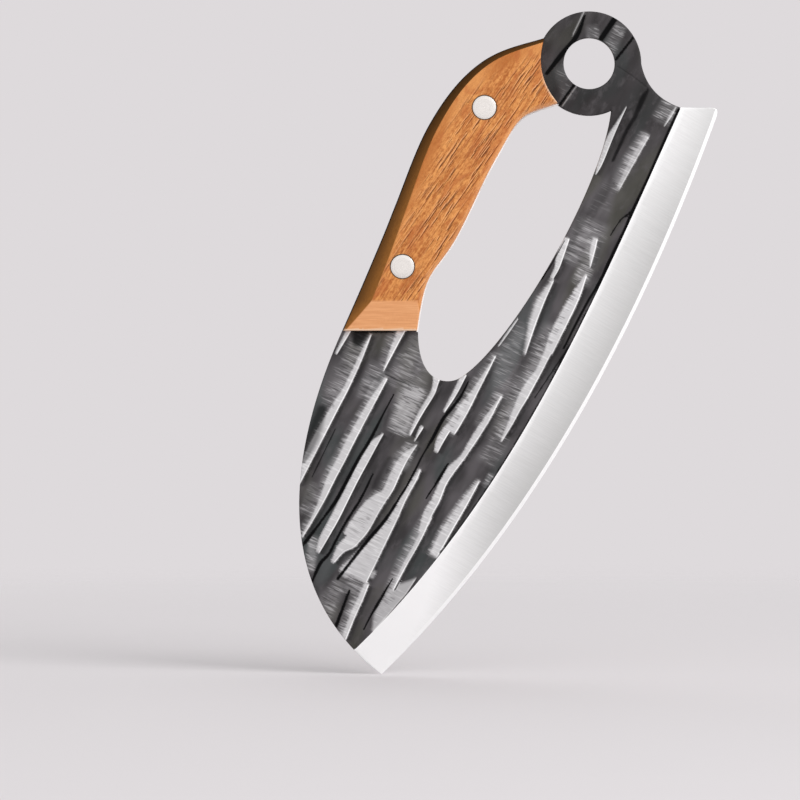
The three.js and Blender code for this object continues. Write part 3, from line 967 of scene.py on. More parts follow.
class NodeTree:
    """Node tree that is filled in node by node."""

    tree: bpy.types.NodeTree

    def add(self, kind: str, values: dict[str | int, Any] | None = None, **settings: Any) -> bpy.types.Node:
        """Adds a node.

        Args:
            kind: Type of the node.
            values: Inputs by name or place; a socket is linked and anything else is set.
            **settings: Properties of the node.

        Returns:
            The node.
        """
        node = self.tree.nodes.new(kind)
        for name, value in settings.items():
            setattr(node, name, value)
        for key, value in (values or {}).items():
            socket = node.inputs[key]
            if isinstance(value, bpy.types.NodeSocket):
                self.tree.links.new(value, socket)
            else:
                socket.default_value = value
        return node

    def sum(self, operation: str, one: Any, other: Any) -> bpy.types.NodeSocket:
        """Result of a calculation with two numbers."""
        return self.add("ShaderNodeMath", {0: one, 1: other}, operation=operation).outputs[0]

    def times(self, one: Any, other: Any) -> bpy.types.NodeSocket:
        """Product of two numbers."""
        return self.sum("MULTIPLY", one, other)


class NodeSheet(NodeTree):
    """Tree of one material or world, filled in from its textures to its shader."""

    def __init__(self, owner: bpy.types.Material | bpy.types.World) -> None:
        """Starts with an empty tree on a material or a world."""
        owner.use_nodes = True
        self.tree = owner.node_tree
        self.tree.nodes.clear()

    def grain(self, angle: float, size: Triple) -> bpy.types.NodeSocket:
        """Object coordinates turned about y and counted in steps of a grain.

        Args:
            angle: Direction of the grain in degrees.
            size: Length, depth and width of a step in millimetres.

        Returns:
            The coordinates.
        """
        place = self.add("ShaderNodeTexCoord").outputs["Object"]
        return self.add("ShaderNodeMapping", {
            "Vector": place,
            "Rotation": (0.0, -math.radians(angle), 0.0),
            "Scale": tuple(value * MM for value in size),
        }, vector_type="TEXTURE").outputs[0]

    def noise(self, place: bpy.types.NodeSocket, detail: float = 2.0, rough: float = 0.5,
              warp: float = 0.0) -> bpy.types.NodeSocket:
        """Noise with one lump for each step of its coordinates."""
        return self.add("ShaderNodeTexNoise", {
            "Vector": place, "Scale": 1.0, "Detail": detail, "Roughness": rough, "Distortion": warp,
        }).outputs[0]

    def value(self, name: str) -> bpy.types.NodeSocket:
        """Value that the mesh carries under a name."""
        return self.add("ShaderNodeAttribute", attribute_name=name).outputs["Fac"]

    def ramp(self, value: bpy.types.NodeSocket, low: float, high: float, start: float = 0.0,
             end: float = 1.0) -> bpy.types.NodeSocket:
        """A value carried smoothly from one range to another."""
        return self.add("ShaderNodeMapRange", {
            "Value": value, "From Min": low, "From Max": high, "To Min": start, "To Max": end,
        }, interpolation_type="SMOOTHSTEP").outputs[0]

    def mix(self, share: Any, one: Any, other: Any, blend: str = "MIX") -> bpy.types.NodeSocket:
        """Mix of two colours, each a socket or a colour."""
        colours = [(*side, 1.0) if isinstance(side, tuple) else side for side in (one, other)]
        node = self.add("ShaderNodeMix", {0: share, 6: colours[0], 7: colours[1]},
                        data_type="RGBA", blend_type=blend)
        return node.outputs[2]

    def bump(self, height: bpy.types.NodeSocket, strength: float, depth: float) -> bpy.types.NodeSocket:
        """Normal of a fine relief, with its depth in millimetres."""
        return self.add("ShaderNodeBump", {
            "Height": height, "Strength": strength, "Distance": depth * MM,
        }).outputs[0]

    def finish(self, values: dict[str, Any]) -> None:
        """Ends the tree with a surface shader that has the given inputs."""
        shader = self.add("ShaderNodeBsdfPrincipled", values)
        self.add("ShaderNodeOutputMaterial", {"Surface": shader.outputs[0]})


def colour(red: int, green: int, blue: int) -> Colour:
    """Linear colour of a display colour with parts from 0 to 255."""
    parts = [value / 255.0 for value in (red, green, blue)]
    return tuple(part / 12.92 if part <= 0.04045 else ((part + 0.055) / 1.055) ** 2.4 for part in parts)


@dataclass(frozen=True)
class ForgedSteel:
    """Dark forge scale with ridges that a belt has ground bright."""

    scale_dark: Colour = colour(62, 60, 61)
    scale_light: Colour = colour(94, 91, 93)
    scale_warm: Colour = colour(84, 84, 75)
    scale_cold: Colour = colour(74, 83, 82)
    ridge_dull: Colour = colour(203, 202, 203)
    # Also the colour of the painted highlight along the ridges' sharp sides.
    ridge_bright: Colour = colour(252, 252, 252)
    # Near-black painted shade for the creases, the bevel's root and beside the ridges' sharp sides.
    fold_shade: Colour = colour(8, 8, 9)
    soot: Colour = colour(44, 42, 42)
    stroke_angle: float = -25.0
    stroke_size: Triple = (5.0, 3.0, 0.5)
    cloud_size: Triple = (16.0, 9.0, 6.0)
    tint_size: Triple = (30.0, 9.0, 11.0)
    mottle_size: Triple = (5.0, 3.0, 2.6)

    def material(self) -> bpy.types.Material:
        """Builds the material; its mesh carries the marks of `Hammering.at`."""
        made = bpy.data.materials.new("forged_steel")
        sheet = NodeSheet(made)
        stroke = sheet.noise(sheet.grain(self.stroke_angle, self.stroke_size), 1.5, 0.5, 0.4)
        cloud = sheet.noise(sheet.grain(FLUTE_ANGLE, self.cloud_size), 2.0)
        tint = sheet.noise(sheet.grain(FLUTE_ANGLE, self.tint_size), 1.0)
        mottle = sheet.noise(sheet.grain(FLUTE_ANGLE, self.mottle_size), 4.0, 0.65)
        light, dark = sheet.ramp(stroke, 0.54, 0.66), sheet.ramp(stroke, 0.46, 0.34)
        scale = sheet.mix(sheet.ramp(cloud, 0.3, 0.7), self.scale_dark, self.scale_light)
        scale = sheet.mix(sheet.ramp(tint, 0.52, 0.66, 0.0, 0.5), scale, self.scale_warm)
        scale = sheet.mix(sheet.ramp(tint, 0.48, 0.34, 0.0, 0.5), scale, self.scale_cold)
        scale = sheet.mix(sheet.ramp(sheet.value("shade"), 0.0, 1.0, 0.0, 0.6), scale, self.scale_dark)
        scale = sheet.mix(sheet.ramp(sheet.value("shade"), 0.6, 1.0, 0.0, 0.4), scale, self.fold_shade)
        soot = sheet.value("soot")
        clean = sheet.ramp(soot, 0.75, 1.0, 1.0, 0.0)
        scale = sheet.mix(soot, scale, self.soot)
        scale = sheet.mix(sheet.ramp(mottle, 0.48, 0.75, 0.0, 0.5), scale, self.scale_light)
        brushed = sheet.value("brushed")
        ragged = sheet.sum("ADD", brushed, sheet.ramp(stroke, 0.3, 0.7, -0.12, 0.12))
        bright = sheet.times(sheet.ramp(ragged, 0.04, 0.5, 0.0, 0.6), sheet.ramp(brushed, 0.0, 0.08))
        zone = sheet.ramp(brushed, 0.03, 0.2, 0.0, 0.6)
        level = sheet.times(brushed, sheet.ramp(cloud, 0.3, 0.7, 0.75, 1.1))
        steel = sheet.mix(level, scale, self.ridge_dull)
        steel = sheet.mix(sheet.times(light, bright), steel, self.ridge_dull)
        steel = sheet.mix(sheet.times(dark, zone), steel, self.scale_dark)
        depth = sheet.value("lip")
        worn = sheet.times(dark, sheet.ramp(depth, 0.6, 1.0, 0.0, 0.5))
        worn = sheet.times(worn, sheet.ramp(tint, 0.42, 0.58))
        # Painted highlight: a thin bright line along each ridge's sharp side.
        painted_highlight = sheet.times(sheet.ramp(depth, 0.08, 0.3, 0.95, 0.0), sheet.ramp(cloud, 0.35, 0.6, 0.4, 1.0))
        ridge = sheet.mix(painted_highlight, self.ridge_dull, self.ridge_bright)
        ridge = sheet.mix(sheet.times(light, 0.3), ridge, self.ridge_bright)
        ridge = sheet.mix(worn, ridge, self.scale_light)
        cover = sheet.times(sheet.ramp(sheet.value("ridge"), 0.44, 0.56), sheet.value("shine"))
        steel = sheet.mix(cover, steel, ridge)
        # Painted shade in the creases, over their shallow groove.
        steel = sheet.mix(sheet.ramp(sheet.value("crease"), 0.1, 0.85), steel, self.fold_shade)
        sheet.finish({
            "Base Color": steel,
            "Metallic": sheet.times(sheet.ramp(cover, 0.0, 1.0, 0.75, 0.45), clean),
            "Roughness": sheet.ramp(cover, 0.0, 1.0, 0.55, 0.42),
            "Specular IOR Level": sheet.times(clean, 0.2),
            "Normal": sheet.bump(stroke, 0.15, 0.06),
        })
        return made


@dataclass(frozen=True)
class GroundBevel:
    """Bright ground cutting bevel with a finely honed edge."""

    bright: Colour = colour(252, 252, 252)
    grey: Colour = colour(194, 194, 193)
    line_size: Triple = (9.0, 4.0, 0.25)
    line_angle: float = -30.0

    def material(self) -> bpy.types.Material:
        """Builds the material; its mesh carries "polish", a painted shade across the bevel, and "honed"."""
        made = bpy.data.materials.new("ground_bevel")
        sheet = NodeSheet(made)
        lines = sheet.noise(sheet.grain(self.line_angle, self.line_size), 3.0, 0.6)
        # Painted shade across the bevel, broken by fine lines.
        share = sheet.sum("ADD", sheet.value("bevel_shade"), sheet.ramp(lines, 0.3, 0.7, -0.06, 0.06))
        share = sheet.sum("MAXIMUM", share, sheet.ramp(sheet.value("honed"), 0.46, 0.54))
        sheet.finish({
            "Base Color": sheet.mix(share, self.grey, self.bright),
            "Metallic": 0.45,
            "Roughness": sheet.ramp(lines, 0.2, 0.8, 0.34, 0.42),
            "Normal": sheet.bump(lines, 0.12, 0.02),
        })
        return made


@dataclass(frozen=True)
class PlateEdge:
    """Border of the plate, dark with worn spots, with a painted highlight inside the grip."""

    dark: Colour = colour(34, 32, 30)
    worn: Colour = colour(96, 93, 90)
    # Painted highlight on the border beside the hand opening, under the grip.
    bright: Colour = colour(226, 222, 214)
    spot_size: Triple = (3.0, 0.5, 3.0)

    def material(self) -> bpy.types.Material:
        """Builds the material; its mesh carries "inner"."""
        made = bpy.data.materials.new("plate_edge")
        sheet = NodeSheet(made)
        spots = sheet.noise(sheet.grain(FLUTE_ANGLE, self.spot_size), 4.0, 0.6)
        steel = sheet.mix(sheet.ramp(spots, 0.45, 0.75), self.dark, self.worn)
        sheet.finish({
            "Base Color": sheet.mix(sheet.value("inner"), steel, self.bright),
            "Metallic": 0.3,
            "Roughness": sheet.ramp(spots, 0.3, 0.7, 0.7, 0.5),
            "Specular IOR Level": 0.1,
            "Normal": sheet.bump(spots, 0.3, 0.05),
        })
        return made


@dataclass(frozen=True)
class GripWood:
    """Oiled orange-brown hardwood with open pores along the grain."""

    mid: Colour = colour(184, 108, 46)
    tan: Colour = colour(218, 146, 80)
    pale: Colour = colour(236, 162, 90)
    deep: Colour = colour(172, 94, 34)
    red: Colour = colour(182, 98, 44)
    pore: Colour = colour(88, 34, 2)
    # Pale painted highlight along the arrises at the ring's hollow and at the foot.
    hem: Colour = colour(255, 226, 196)
    sanded_and_highlight: Colour = colour(242, 176, 122)
    sanded_deep: Colour = colour(230, 160, 106)
    # Painted shade of the outer chamfer, deepening outwards and towards the ring; the darkest also rings the
    # rivet counterbores.
    shaded: Colour = colour(164, 108, 54)
    painted_dark_shade: Colour = colour(110, 74, 40)
    painted_top_shade: Colour = colour(56, 38, 20)
    grain_angle: float = 55.0
    band_size: Triple = (26.0, 8.0, 5.5)
    mottle_size: Triple = (1.5, 1.2, 0.8)
    fibre_size: Triple = (12.0, 2.0, 1.0)
    figure_size: Triple = (11.0, 6.0, 5.0)
    crack_size: Triple = (11.0, 3.0, 0.52)
    pore_size: Triple = (2.6, 1.5, 0.55)
    sanding_size: Triple = (10.0, 3.0, 0.5)

    def material(self) -> bpy.types.Material:
        """Builds the material; its mesh carries the values of `GripScale.surface`."""
        made = bpy.data.materials.new("grip_wood")
        sheet = NodeSheet(made)
        angle = self.grain_angle
        bands = sheet.noise(sheet.grain(angle, self.band_size), 2.0, 0.5, 0.3)
        mottle = sheet.noise(sheet.grain(angle, self.mottle_size), 3.0, 0.6, 0.3)
        fibres = sheet.noise(sheet.grain(angle + 1.0, self.fibre_size), 3.0, 0.6, 0.2)
        along = sheet.grain(angle, self.crack_size)
        aside = sheet.add("ShaderNodeVectorMath", {0: along, 1: (0.0, 0.0, -0.7)}, operation="ADD").outputs[0]
        cracks, shifted = (sheet.noise(place, 2.0, 0.55, 0.6) for place in (along, aside))
        figure = sheet.noise(sheet.grain(angle, self.figure_size), 2.0, 0.5, 1.2)
        pores = sheet.noise(sheet.grain(angle + 4.0, self.pore_size), 1.0, 0.5, 0.8)
        sanding = sheet.noise(sheet.grain(0.0, self.sanding_size), 2.0, 0.5)
        heart = sheet.value("heart")
        tone = sheet.sum("ADD", sheet.times(mottle, 0.5), sheet.times(fibres, 0.5))
        calm = sheet.mix(sheet.ramp(bands, 0.35, 0.65), self.mid, self.tan)
        wood = sheet.mix(sheet.ramp(tone, 0.38, 0.62), self.deep, self.pale)
        wood = sheet.mix(sheet.ramp(heart, 0.0, 0.8, 0.85, 0.25), wood, calm)
        wood = sheet.mix(sheet.ramp(figure, 0.48, 0.64, 0.0, 0.5), wood, self.red)
        cluster = sheet.times(heart, sheet.ramp(bands, 0.42, 0.56, 0.15, 1.0))
        crack = sheet.times(sheet.ramp(cracks, 0.565, 0.62), cluster)
        # Painted highlight beside each crack, for an embossed look.
        glint = sheet.times(sheet.ramp(shifted, 0.565, 0.62), cluster)
        open_pores = sheet.times(sheet.ramp(pores, 0.62, 0.74), sheet.ramp(heart, 0.0, 1.0, 0.05, 0.32))
        foot = sheet.ramp(sheet.value("foot"), 0.48, 0.54)
        pit = sheet.times(sheet.sum("MAXIMUM", crack, open_pores), sheet.ramp(foot, 0.0, 1.0, 1.0, 0.0))
        wood = sheet.mix(sheet.times(glint, 0.7), wood, self.sanded_and_highlight)
        wood = sheet.mix(sheet.times(pit, 0.85), wood, self.pore)
        end = sheet.mix(sheet.ramp(sanding, 0.35, 0.7), self.sanded_deep, self.sanded_and_highlight)
        wood = sheet.mix(foot, wood, end)
        # Painted highlight on the chamfer beside the hand opening.
        wood = sheet.mix(sheet.ramp(sheet.value("inner"), 0.48, 0.6, 0.0, 0.4), wood, self.sanded_and_highlight)
        # The outer chamfer is painted in shade, darker outwards and towards the ring.
        outer = sheet.value("outer")
        side = sheet.mix(sheet.ramp(outer, 0.5, 1.0), self.shaded, self.painted_dark_shade)
        side = sheet.mix(sheet.value("chamfer_shade"), side, self.painted_top_shade)
        side = sheet.mix(sheet.ramp(mottle, 0.35, 0.7, 0.0, 0.3), side, self.painted_dark_shade)
        wood = sheet.mix(sheet.ramp(outer, 0.49, 0.52), wood, side)
        # Painted shade in and round the rivets' counterbores.
        wood = sheet.mix(sheet.value("rim"), wood, self.painted_dark_shade)
        # Painted highlight along the arrises at the ring's hollow and at the foot.
        wood = sheet.mix(sheet.value("hem"), wood, self.hem)
        relief = sheet.sum("SUBTRACT", sheet.times(mottle, 0.6), pit)
        sheet.finish({
            "Base Color": wood,
            "Roughness": sheet.ramp(pit, 0.0, 1.0, 0.5, 0.8),
            "Specular IOR Level": sheet.ramp(outer, 0.49, 0.52, 0.3, 0.0),
            "Normal": sheet.bump(relief, 0.8, 0.2),
        })
        return made


@dataclass(frozen=True)
class RivetSteel:
    """Satin nickel-white rivet head with fine turning marks."""

    bright: Colour = colour(240, 236, 231)
    dull: Colour = colour(214, 210, 205)
    mark_width: float = 0.16
    wear_angle: float = 20.0
    wear_size: Triple = (3.0, 3.0, 0.3)

    def material(self) -> bpy.types.Material:
        """Builds the material; its mesh carries "turning", the distance from the axis in metres."""
        made = bpy.data.materials.new("rivet_steel")
        sheet = NodeSheet(made)
        marks = sheet.add("ShaderNodeTexNoise", {
            "W": sheet.sum("DIVIDE", sheet.value("turning"), self.mark_width * MM),
            "Scale": 1.0, "Detail": 2.0,
        }, noise_dimensions="1D").outputs[0]
        wear = sheet.noise(sheet.grain(self.wear_angle, self.wear_size), 2.0)
        tone = sheet.mix(sheet.ramp(marks, 0.3, 0.7), self.dull, self.bright)
        sheet.finish({
            "Base Color": sheet.mix(sheet.ramp(wear, 0.55, 0.8, 0.0, 0.5), tone, self.dull),
            "Metallic": 0.7,
            "Roughness": sheet.ramp(marks, 0.2, 0.8, 0.42, 0.3),
            "Normal": sheet.bump(marks, 0.12, 0.01),
        })
        return made


@dataclass
class Blade:
    """Forged plate: blade, tang and hanging ring."""

    outline: Outline
    half: float = 1.5
    seat_depth: float = 0.25
    edge_half: float = 0.1
    fine_bevel_width: float = 1.2
    fine_bevel_half: float = 0.25
    rim_round: float = 0.35
    hole_radius: float = 2.65
    ring_hollow_radius: float = 21.0
    ring_lap: float = 1.25
    root_calm: float = 2.6
    root_shade_width: float = 0.8
    front_grid: Pair = (0.76, 0.38)
    rear_grid: Pair = (1.1, 0.62)
    bevel_grid: Pair = (1.6, 1.2)
    hidden_grid: Pair = (3.0, 3.0)
    rim_rows: Triple = (0.08, 0.2, 0.35)
    hole_points: int = 37
    line_gap: float = 0.3
    border_gap: float = 0.25
    grid_gap: float = 0.55
    row_gap: float = 0.12
    track_gap: float = 0.16
    seat_slack: float = 0.01
    seat_points: int = 120
    loops: list[np.ndarray] = field(init=False)
    borders: list[np.ndarray] = field(init=False)

    def __post_init__(self) -> None:
        """Draws the loops that bound the plate."""
        step = self.outline.step
        parts = self.outline.plate_parts()
        opening = self.outline.opening_parts()
        bore = arc(self.outline.ring, self.outline.ring_bore_radius, 0.0, 360.0)
        centres = self.outline.rivets()
        holes = [arc(centre, self.hole_radius, 0.0, 360.0, self.hole_points) for centre in centres]
        outer = wound(chain(parts, step), hole=False)
        inner = [chain(opening, step), chain([bore], step), *[ring[:-1] for ring in holes]]
        self.loops = [outer, *[wound(loop, hole=True) for loop in inner]]
        self.borders = [np.vstack(parts[1:]), np.vstack(opening), bore]

    def hollow(self) -> tuple[np.ndarray, float]:
        """Centre and radius of the circle that ends the grip's seat at the ring."""
        ring = self.outline.ring
        away = ring - self.outline.grip_at(np.zeros(1))[0][0]
        away /= np.linalg.norm(away)
        reach = self.ring_hollow_radius - self.outline.ring_radius + self.ring_lap
        return ring + away * reach, self.ring_hollow_radius

    def on_seat(self, points: np.ndarray) -> tuple[np.ndarray, Nearest]:
        """Mask of the points that lie under a scale, and where points lie beside the grip's middle."""
        line, _, width = self.outline.grip_at(np.linspace(0.0, 1.0, self.seat_points))
        place = beside(points, line)
        run = run_along(line)
        half = np.interp(place.along, run, width) / 2.0
        centre, radius = self.hollow()
        clear = np.linalg.norm(points - centre, axis=1) > radius
        above = points[:, 1] > self.outline.foot_height
        beside_line = (np.abs(place.offset) < half + self.seat_slack) & (place.past < self.seat_slack)
        return beside_line & clear & above, place

    def surface(self, points: np.ndarray, marks: Hammering) -> tuple[np.ndarray, dict[str, np.ndarray]]:
        """Height of one face above the plate's middle, and what its finishes read.

        Args:
            points: Points of the face.
            marks: Flutes and creases of the face.

        Returns:
            The heights and the values by name.
        """
        depth, width, share = self.outline.bevel_at(points)
        fine = self.edge_half + (self.fine_bevel_half - self.edge_half) * depth / self.fine_bevel_width
        run = (depth - self.fine_bevel_width) / (width - self.fine_bevel_width)
        main = self.fine_bevel_half + (self.half - self.fine_bevel_half) * run
        bevel = np.where(depth < self.fine_bevel_width, fine, main)
        looks = marks.at(points)
        relief = looks.pop("relief") * smooth(0.0, self.root_calm, depth - width)
        seat, place = self.on_seat(points)
        plate = np.where(seat, self.half - self.seat_depth, self.half - relief)
        height = np.minimum(plate, bevel)
        rim = clearance(points, self.borders, self.rim_round)
        drop = rounding(rim, self.rim_round)
        # Painted shade: a dark line along the bevel's root, added to the creases' darkness.
        fold_shade = (1.0 - smooth(0.3, 1.0, (depth - width) / self.root_shade_width)) * smooth(0.1, 0.3, share)
        looks["crease"] = np.where(seat, 0.0, np.maximum(looks["crease"], 0.85 * fold_shade))
        inner = seat & (place.offset < 0.0)
        looks["brushed"] = np.where(seat, 0.0, looks["brushed"])
        # Painted highlight: the strip of seat beside the opening takes the bright ridge colour.
        looks["ridge"] = np.where(seat, inner, looks["ridge"])
        looks["shine"] = np.where(inner, 1.0, looks["shine"])
        looks["soot"] = np.where(seat, 1.0, looks["soot"])
        looks["inner"] = inner.astype(float)
        # Painted shade across the bevel: bright at its root, its tip and its heel, greyer towards the edge.
        root = smooth(-1.6, -0.2, depth - width)
        ends = 1.0 - smooth(0.03, 0.36, share) + 0.25 * smooth(0.75, 1.0, share)
        looks["bevel_shade"] = 0.5 * run + 0.5 * root + ends
        looks["honed"] = 0.5 + 0.5 * np.clip(self.fine_bevel_width - depth, -1.0, 1.0)
        return height - drop * np.clip(height / self.half, 0.0, 1.0), looks

    def bevel_line(self, part: float, back: float) -> np.ndarray:
        """Line along the cutting bevel, clear of the border.

        Args:
            part: Share of the bevel's width between the edge and the line.
            back: Further distance from the edge.

        Returns:
            Points of the line.
        """
        edge = self.outline.edge()
        way = np.gradient(edge, axis=0)
        inward = np.stack([-way[:, 1], way[:, 0]], 1) / np.linalg.norm(way, axis=1)[:, None]
        reach = part * self.outline.bevel_at(edge)[1] + back
        return self.clipped(spaced(edge + inward * reach[:, None], self.outline.step))[0]

    def clipped(self, line: np.ndarray) -> list[np.ndarray]:
        """Stretches of a line that lie on the plate, clear of its border."""
        clear = clearance(line, self.borders, 1.0) > self.border_gap
        return stretches(line, within(line, self.loops) & clear)

    def mark_lines(self, marks: Hammering) -> list[np.ndarray]:
        """Lines of the marks that triangle sides follow, clear of the bevel and of the seat."""
        lines = []
        for mark in marks.lines():
            line = spaced(mark, self.outline.step)
            depth, width, _ = self.outline.bevel_at(line)
            kept = (depth - width > self.line_gap) & ~self.on_seat(line)[0]
            for part in stretches(line, kept):
                lines += self.clipped(part)
        return lines

    def grid(self, face: Face) -> np.ndarray:
        """Corners inside the outline: close on the flutes, wide on the bevel and under the scales."""
        low, high = self.loops[0].min(0), self.loops[0].max(0)
        close = self.front_grid if face is Face.FRONT else self.rear_grid
        groups = []
        for zone, spacing in enumerate((close, self.bevel_grid, self.hidden_grid)):
            points = lattice(low, high, FLUTE_ANGLE, *spacing)
            points = points[within(points, self.loops)]
            depth, width, _ = self.outline.bevel_at(points)
            kind = np.where(self.on_seat(points)[0], 2, (depth < width).astype(int))
            room = np.minimum(np.abs(depth - width), np.abs(depth - self.fine_bevel_width))
            groups.append(points[(kind == zone) & (room > self.line_gap)])
        points = np.concatenate(groups)
        return points[clearance(points, [closed(loop) for loop in self.loops], 1.0) > self.grid_gap]

    def build(self, marks: dict[Face, Hammering]) -> bpy.types.Object:
        """Builds and dresses the plate.

        Args:
            marks: Flutes and creases of each face.

        Returns:
            The piece.
        """
        shell = Shell()
        rims = {}
        lines = [self.bevel_line(1.0, 0.0), self.bevel_line(0.0, self.fine_bevel_width)]
        rows = inner_rows(self.loops[:3], self.rim_rows)
        rows = rows[clearance(rows, lines, 1.0) > self.row_gap]
        for face in Face:
            tracks = [*lines, *self.mark_lines(marks[face])]
            grid = self.grid(face)
            grid = grid[clearance(grid, tracks, 0.5) > self.track_gap]
            flat = fill(self.loops, tracks, np.concatenate([rows, grid]))
            height, looks = self.surface(flat.points, marks[face])
            numbers = shell.add(flat.points, face.value * height, looks)
            depth, width, _ = self.outline.bevel_at(flat.points[flat.triangles].mean(1))
            shell.cover(numbers, flat.triangles, face, (depth < width).astype(int))
            rims[face] = [numbers[loop] for loop in flat.loops]
        for low, high in zip(rims[Face.FRONT], rims[Face.REAR]):
            shell.band(low, high, 2)
        finishes = [ForgedSteel().material(), GroundBevel().material(), PlateEdge().material()]
        return shell.finish("forged_blade", finishes, SHARP_ANGLE)


@dataclass
class GripScale:
    """Wooden scale on one side of the tang."""

    outline: Outline
    blade: Blade
    face: Face
    thickness: float = 7.0
    inset: float = 0.4
    outer_wall: float = 2.5
    outer_chamfer_ring: float = 1.3
    outer_chamfer_foot: float = 5.3
    hem: float = 0.4
    inner_chamfer: float = 1.4
    foot_wall: float = 3.0
    foot_bevel: float = 10.2
    end_gap: float = 0.2
    arris: float = 0.4
    rim_round: float = 0.3
    head_hole: float = 4.15
    head_depth: float = 1.5
    grid_step: Pair = (0.8, 0.6)
    arris_step: Pair = (0.3, 0.15)
    arris_reach: float = 0.35
    border_gap: float = 0.5
    rim_rows: Pair = (0.1, 0.3)
    hole_points: int = 73
    look_reach: float = 4.5
    chamfer_shade_heights: Pair = (30.0, 85.0)

    @property
    def foot(self) -> float:
        """Height of the scale's lower end."""
        return self.outline.foot_height + self.end_gap

    def loop(self) -> np.ndarray:
        """Border of the scale."""
        centre, radius = self.blade.hollow()
        radius += self.end_gap
        sides = []
        for side in (-1, 1):
            line = self.outline.grip_side(side, self.inset, self.foot)[::-1]
            sides.append(cut(line, np.linalg.norm(line - centre, axis=1) - radius))
        back, front = sides
        ends = [math.degrees(math.atan2(*(line[-1] - centre)[::-1])) % 360.0 for line in (front, back)]
        parts = [front, arc(centre, radius, *ends), back[::-1], np.array([back[0], front[0]])]
        return wound(chain(parts, self.outline.step), hole=False)

    def grip_place(self, points: np.ndarray) -> tuple[np.ndarray, np.ndarray, np.ndarray]:
        """Where points lie across the grip.

        Args:
            points: Points of the scale.

        Returns:
            Distance inside the back, distance inside the opening's side, and width of the chamfer.
        """
        share = np.linspace(0.0, 1.0, 240)
        line, _, width = self.outline.grip_at(share)
        place = beside(points, line)
        run = run_along(line)
        here = np.interp(place.along, run, share)
        half = np.interp(place.along, run, width) / 2.0 - self.inset
        chamfer = self.outer_chamfer_ring + (self.outer_chamfer_foot - self.outer_chamfer_ring) * here
        return half - place.offset, half + place.offset, chamfer

    def surface(self, points: np.ndarray, border: np.ndarray) -> tuple[np.ndarray, dict[str, np.ndarray]]:
        """Height of the wood above its seat, and what its finish reads.

        Args:
            points: Points of the scale.
            border: Line of its border.

        Returns:
            The heights and the values by name.
        """
        from_back, from_front, chamfer = self.grip_place(points)
        slope = (self.thickness - self.foot_wall) / self.foot_bevel
        planes = np.stack([
            np.full(len(points), self.thickness),
            self.outer_wall + (self.thickness - self.outer_wall) * from_back / chamfer,
            self.thickness - self.inner_chamfer + from_front,
            self.foot_wall + slope * (points[:, 1] - self.foot),
        ])
        height = planes[0]
        for plane in planes[1:]:
            blend = np.clip(0.5 + (plane - height) / (2.0 * self.arris), 0.0, 1.0)
            height = plane + (height - plane) * blend - self.arris * blend * (1.0 - blend)
        rim = clearance(points, [border], self.rim_round)
        drop = rounding(rim, self.rim_round)
        looks = {}
        for place, name in ((1, "outer"), (2, "inner"), (3, "foot")):
            below = np.delete(planes, place, 0).min(0) - planes[place]
            looks[name] = 0.5 + 0.5 * np.clip(below / self.look_reach, -1.0, 1.0)
        share = (from_front - from_back) / (from_front + from_back)
        looks["heart"] = (1.0 - smooth(0.2, 0.75, share)) * smooth(-1.0, -0.9, share)
        # Painted shade on the outer chamfer, deeper towards the ring.
        looks["chamfer_shade"] = 0.8 * smooth(*self.chamfer_shade_heights, points[:, 1] - self.foot)
        holes = np.stack([np.linalg.norm(points - centre, axis=1) for centre in self.outline.rivets()]).min(0)
        # Painted shade round the rivet counterbores.
        looks["rim"] = 0.85 * (1.0 - smooth(self.head_hole + 0.02, self.head_hole + 0.35, holes))
        # Painted highlight along the hollow at the ring and along the lower border of the foot.
        centre, radius = self.blade.hollow()
        beyond = np.linalg.norm(points - centre, axis=1) - radius - self.end_gap
        low = 0.6 * (1.0 - smooth(-12.0, 0.0, points[:, 1] - self.outline.ring[1]))
        looks["hem"] = low * (1.0 - smooth(0.15, 0.5, beyond))
        looks["hem"] = np.maximum(looks["hem"], 0.8 * (1.0 - smooth(0.25, 0.6, points[:, 1] - self.foot)))
        return height - drop, looks

    def grid(self, loops: list[np.ndarray]) -> np.ndarray:
        """Corners inside the border, in rows along the arrises and even between them."""
        low, high = loops[0].min(0), loops[0].max(0)
        groups = []
        for spacing, near in ((self.grid_step, False), (self.arris_step, True)):
            cloud = lattice(low, high, FLUTE_ANGLE, *spacing)
            cloud = cloud[within(cloud, loops)]
            from_back, from_front, chamfer = self.grip_place(cloud)
            away = np.minimum(np.abs(from_back - chamfer), np.abs(from_front - self.inner_chamfer))
            away = np.minimum(away, np.abs(cloud[:, 1] - self.foot - self.foot_bevel))
            groups.append(cloud[(away < self.arris_reach) == near])
        points = np.concatenate(groups)
        clear = clearance(points, [closed(loop) for loop in loops], 1.0) > self.border_gap
        return np.concatenate([inner_rows(loops, self.rim_rows), points[clear]])

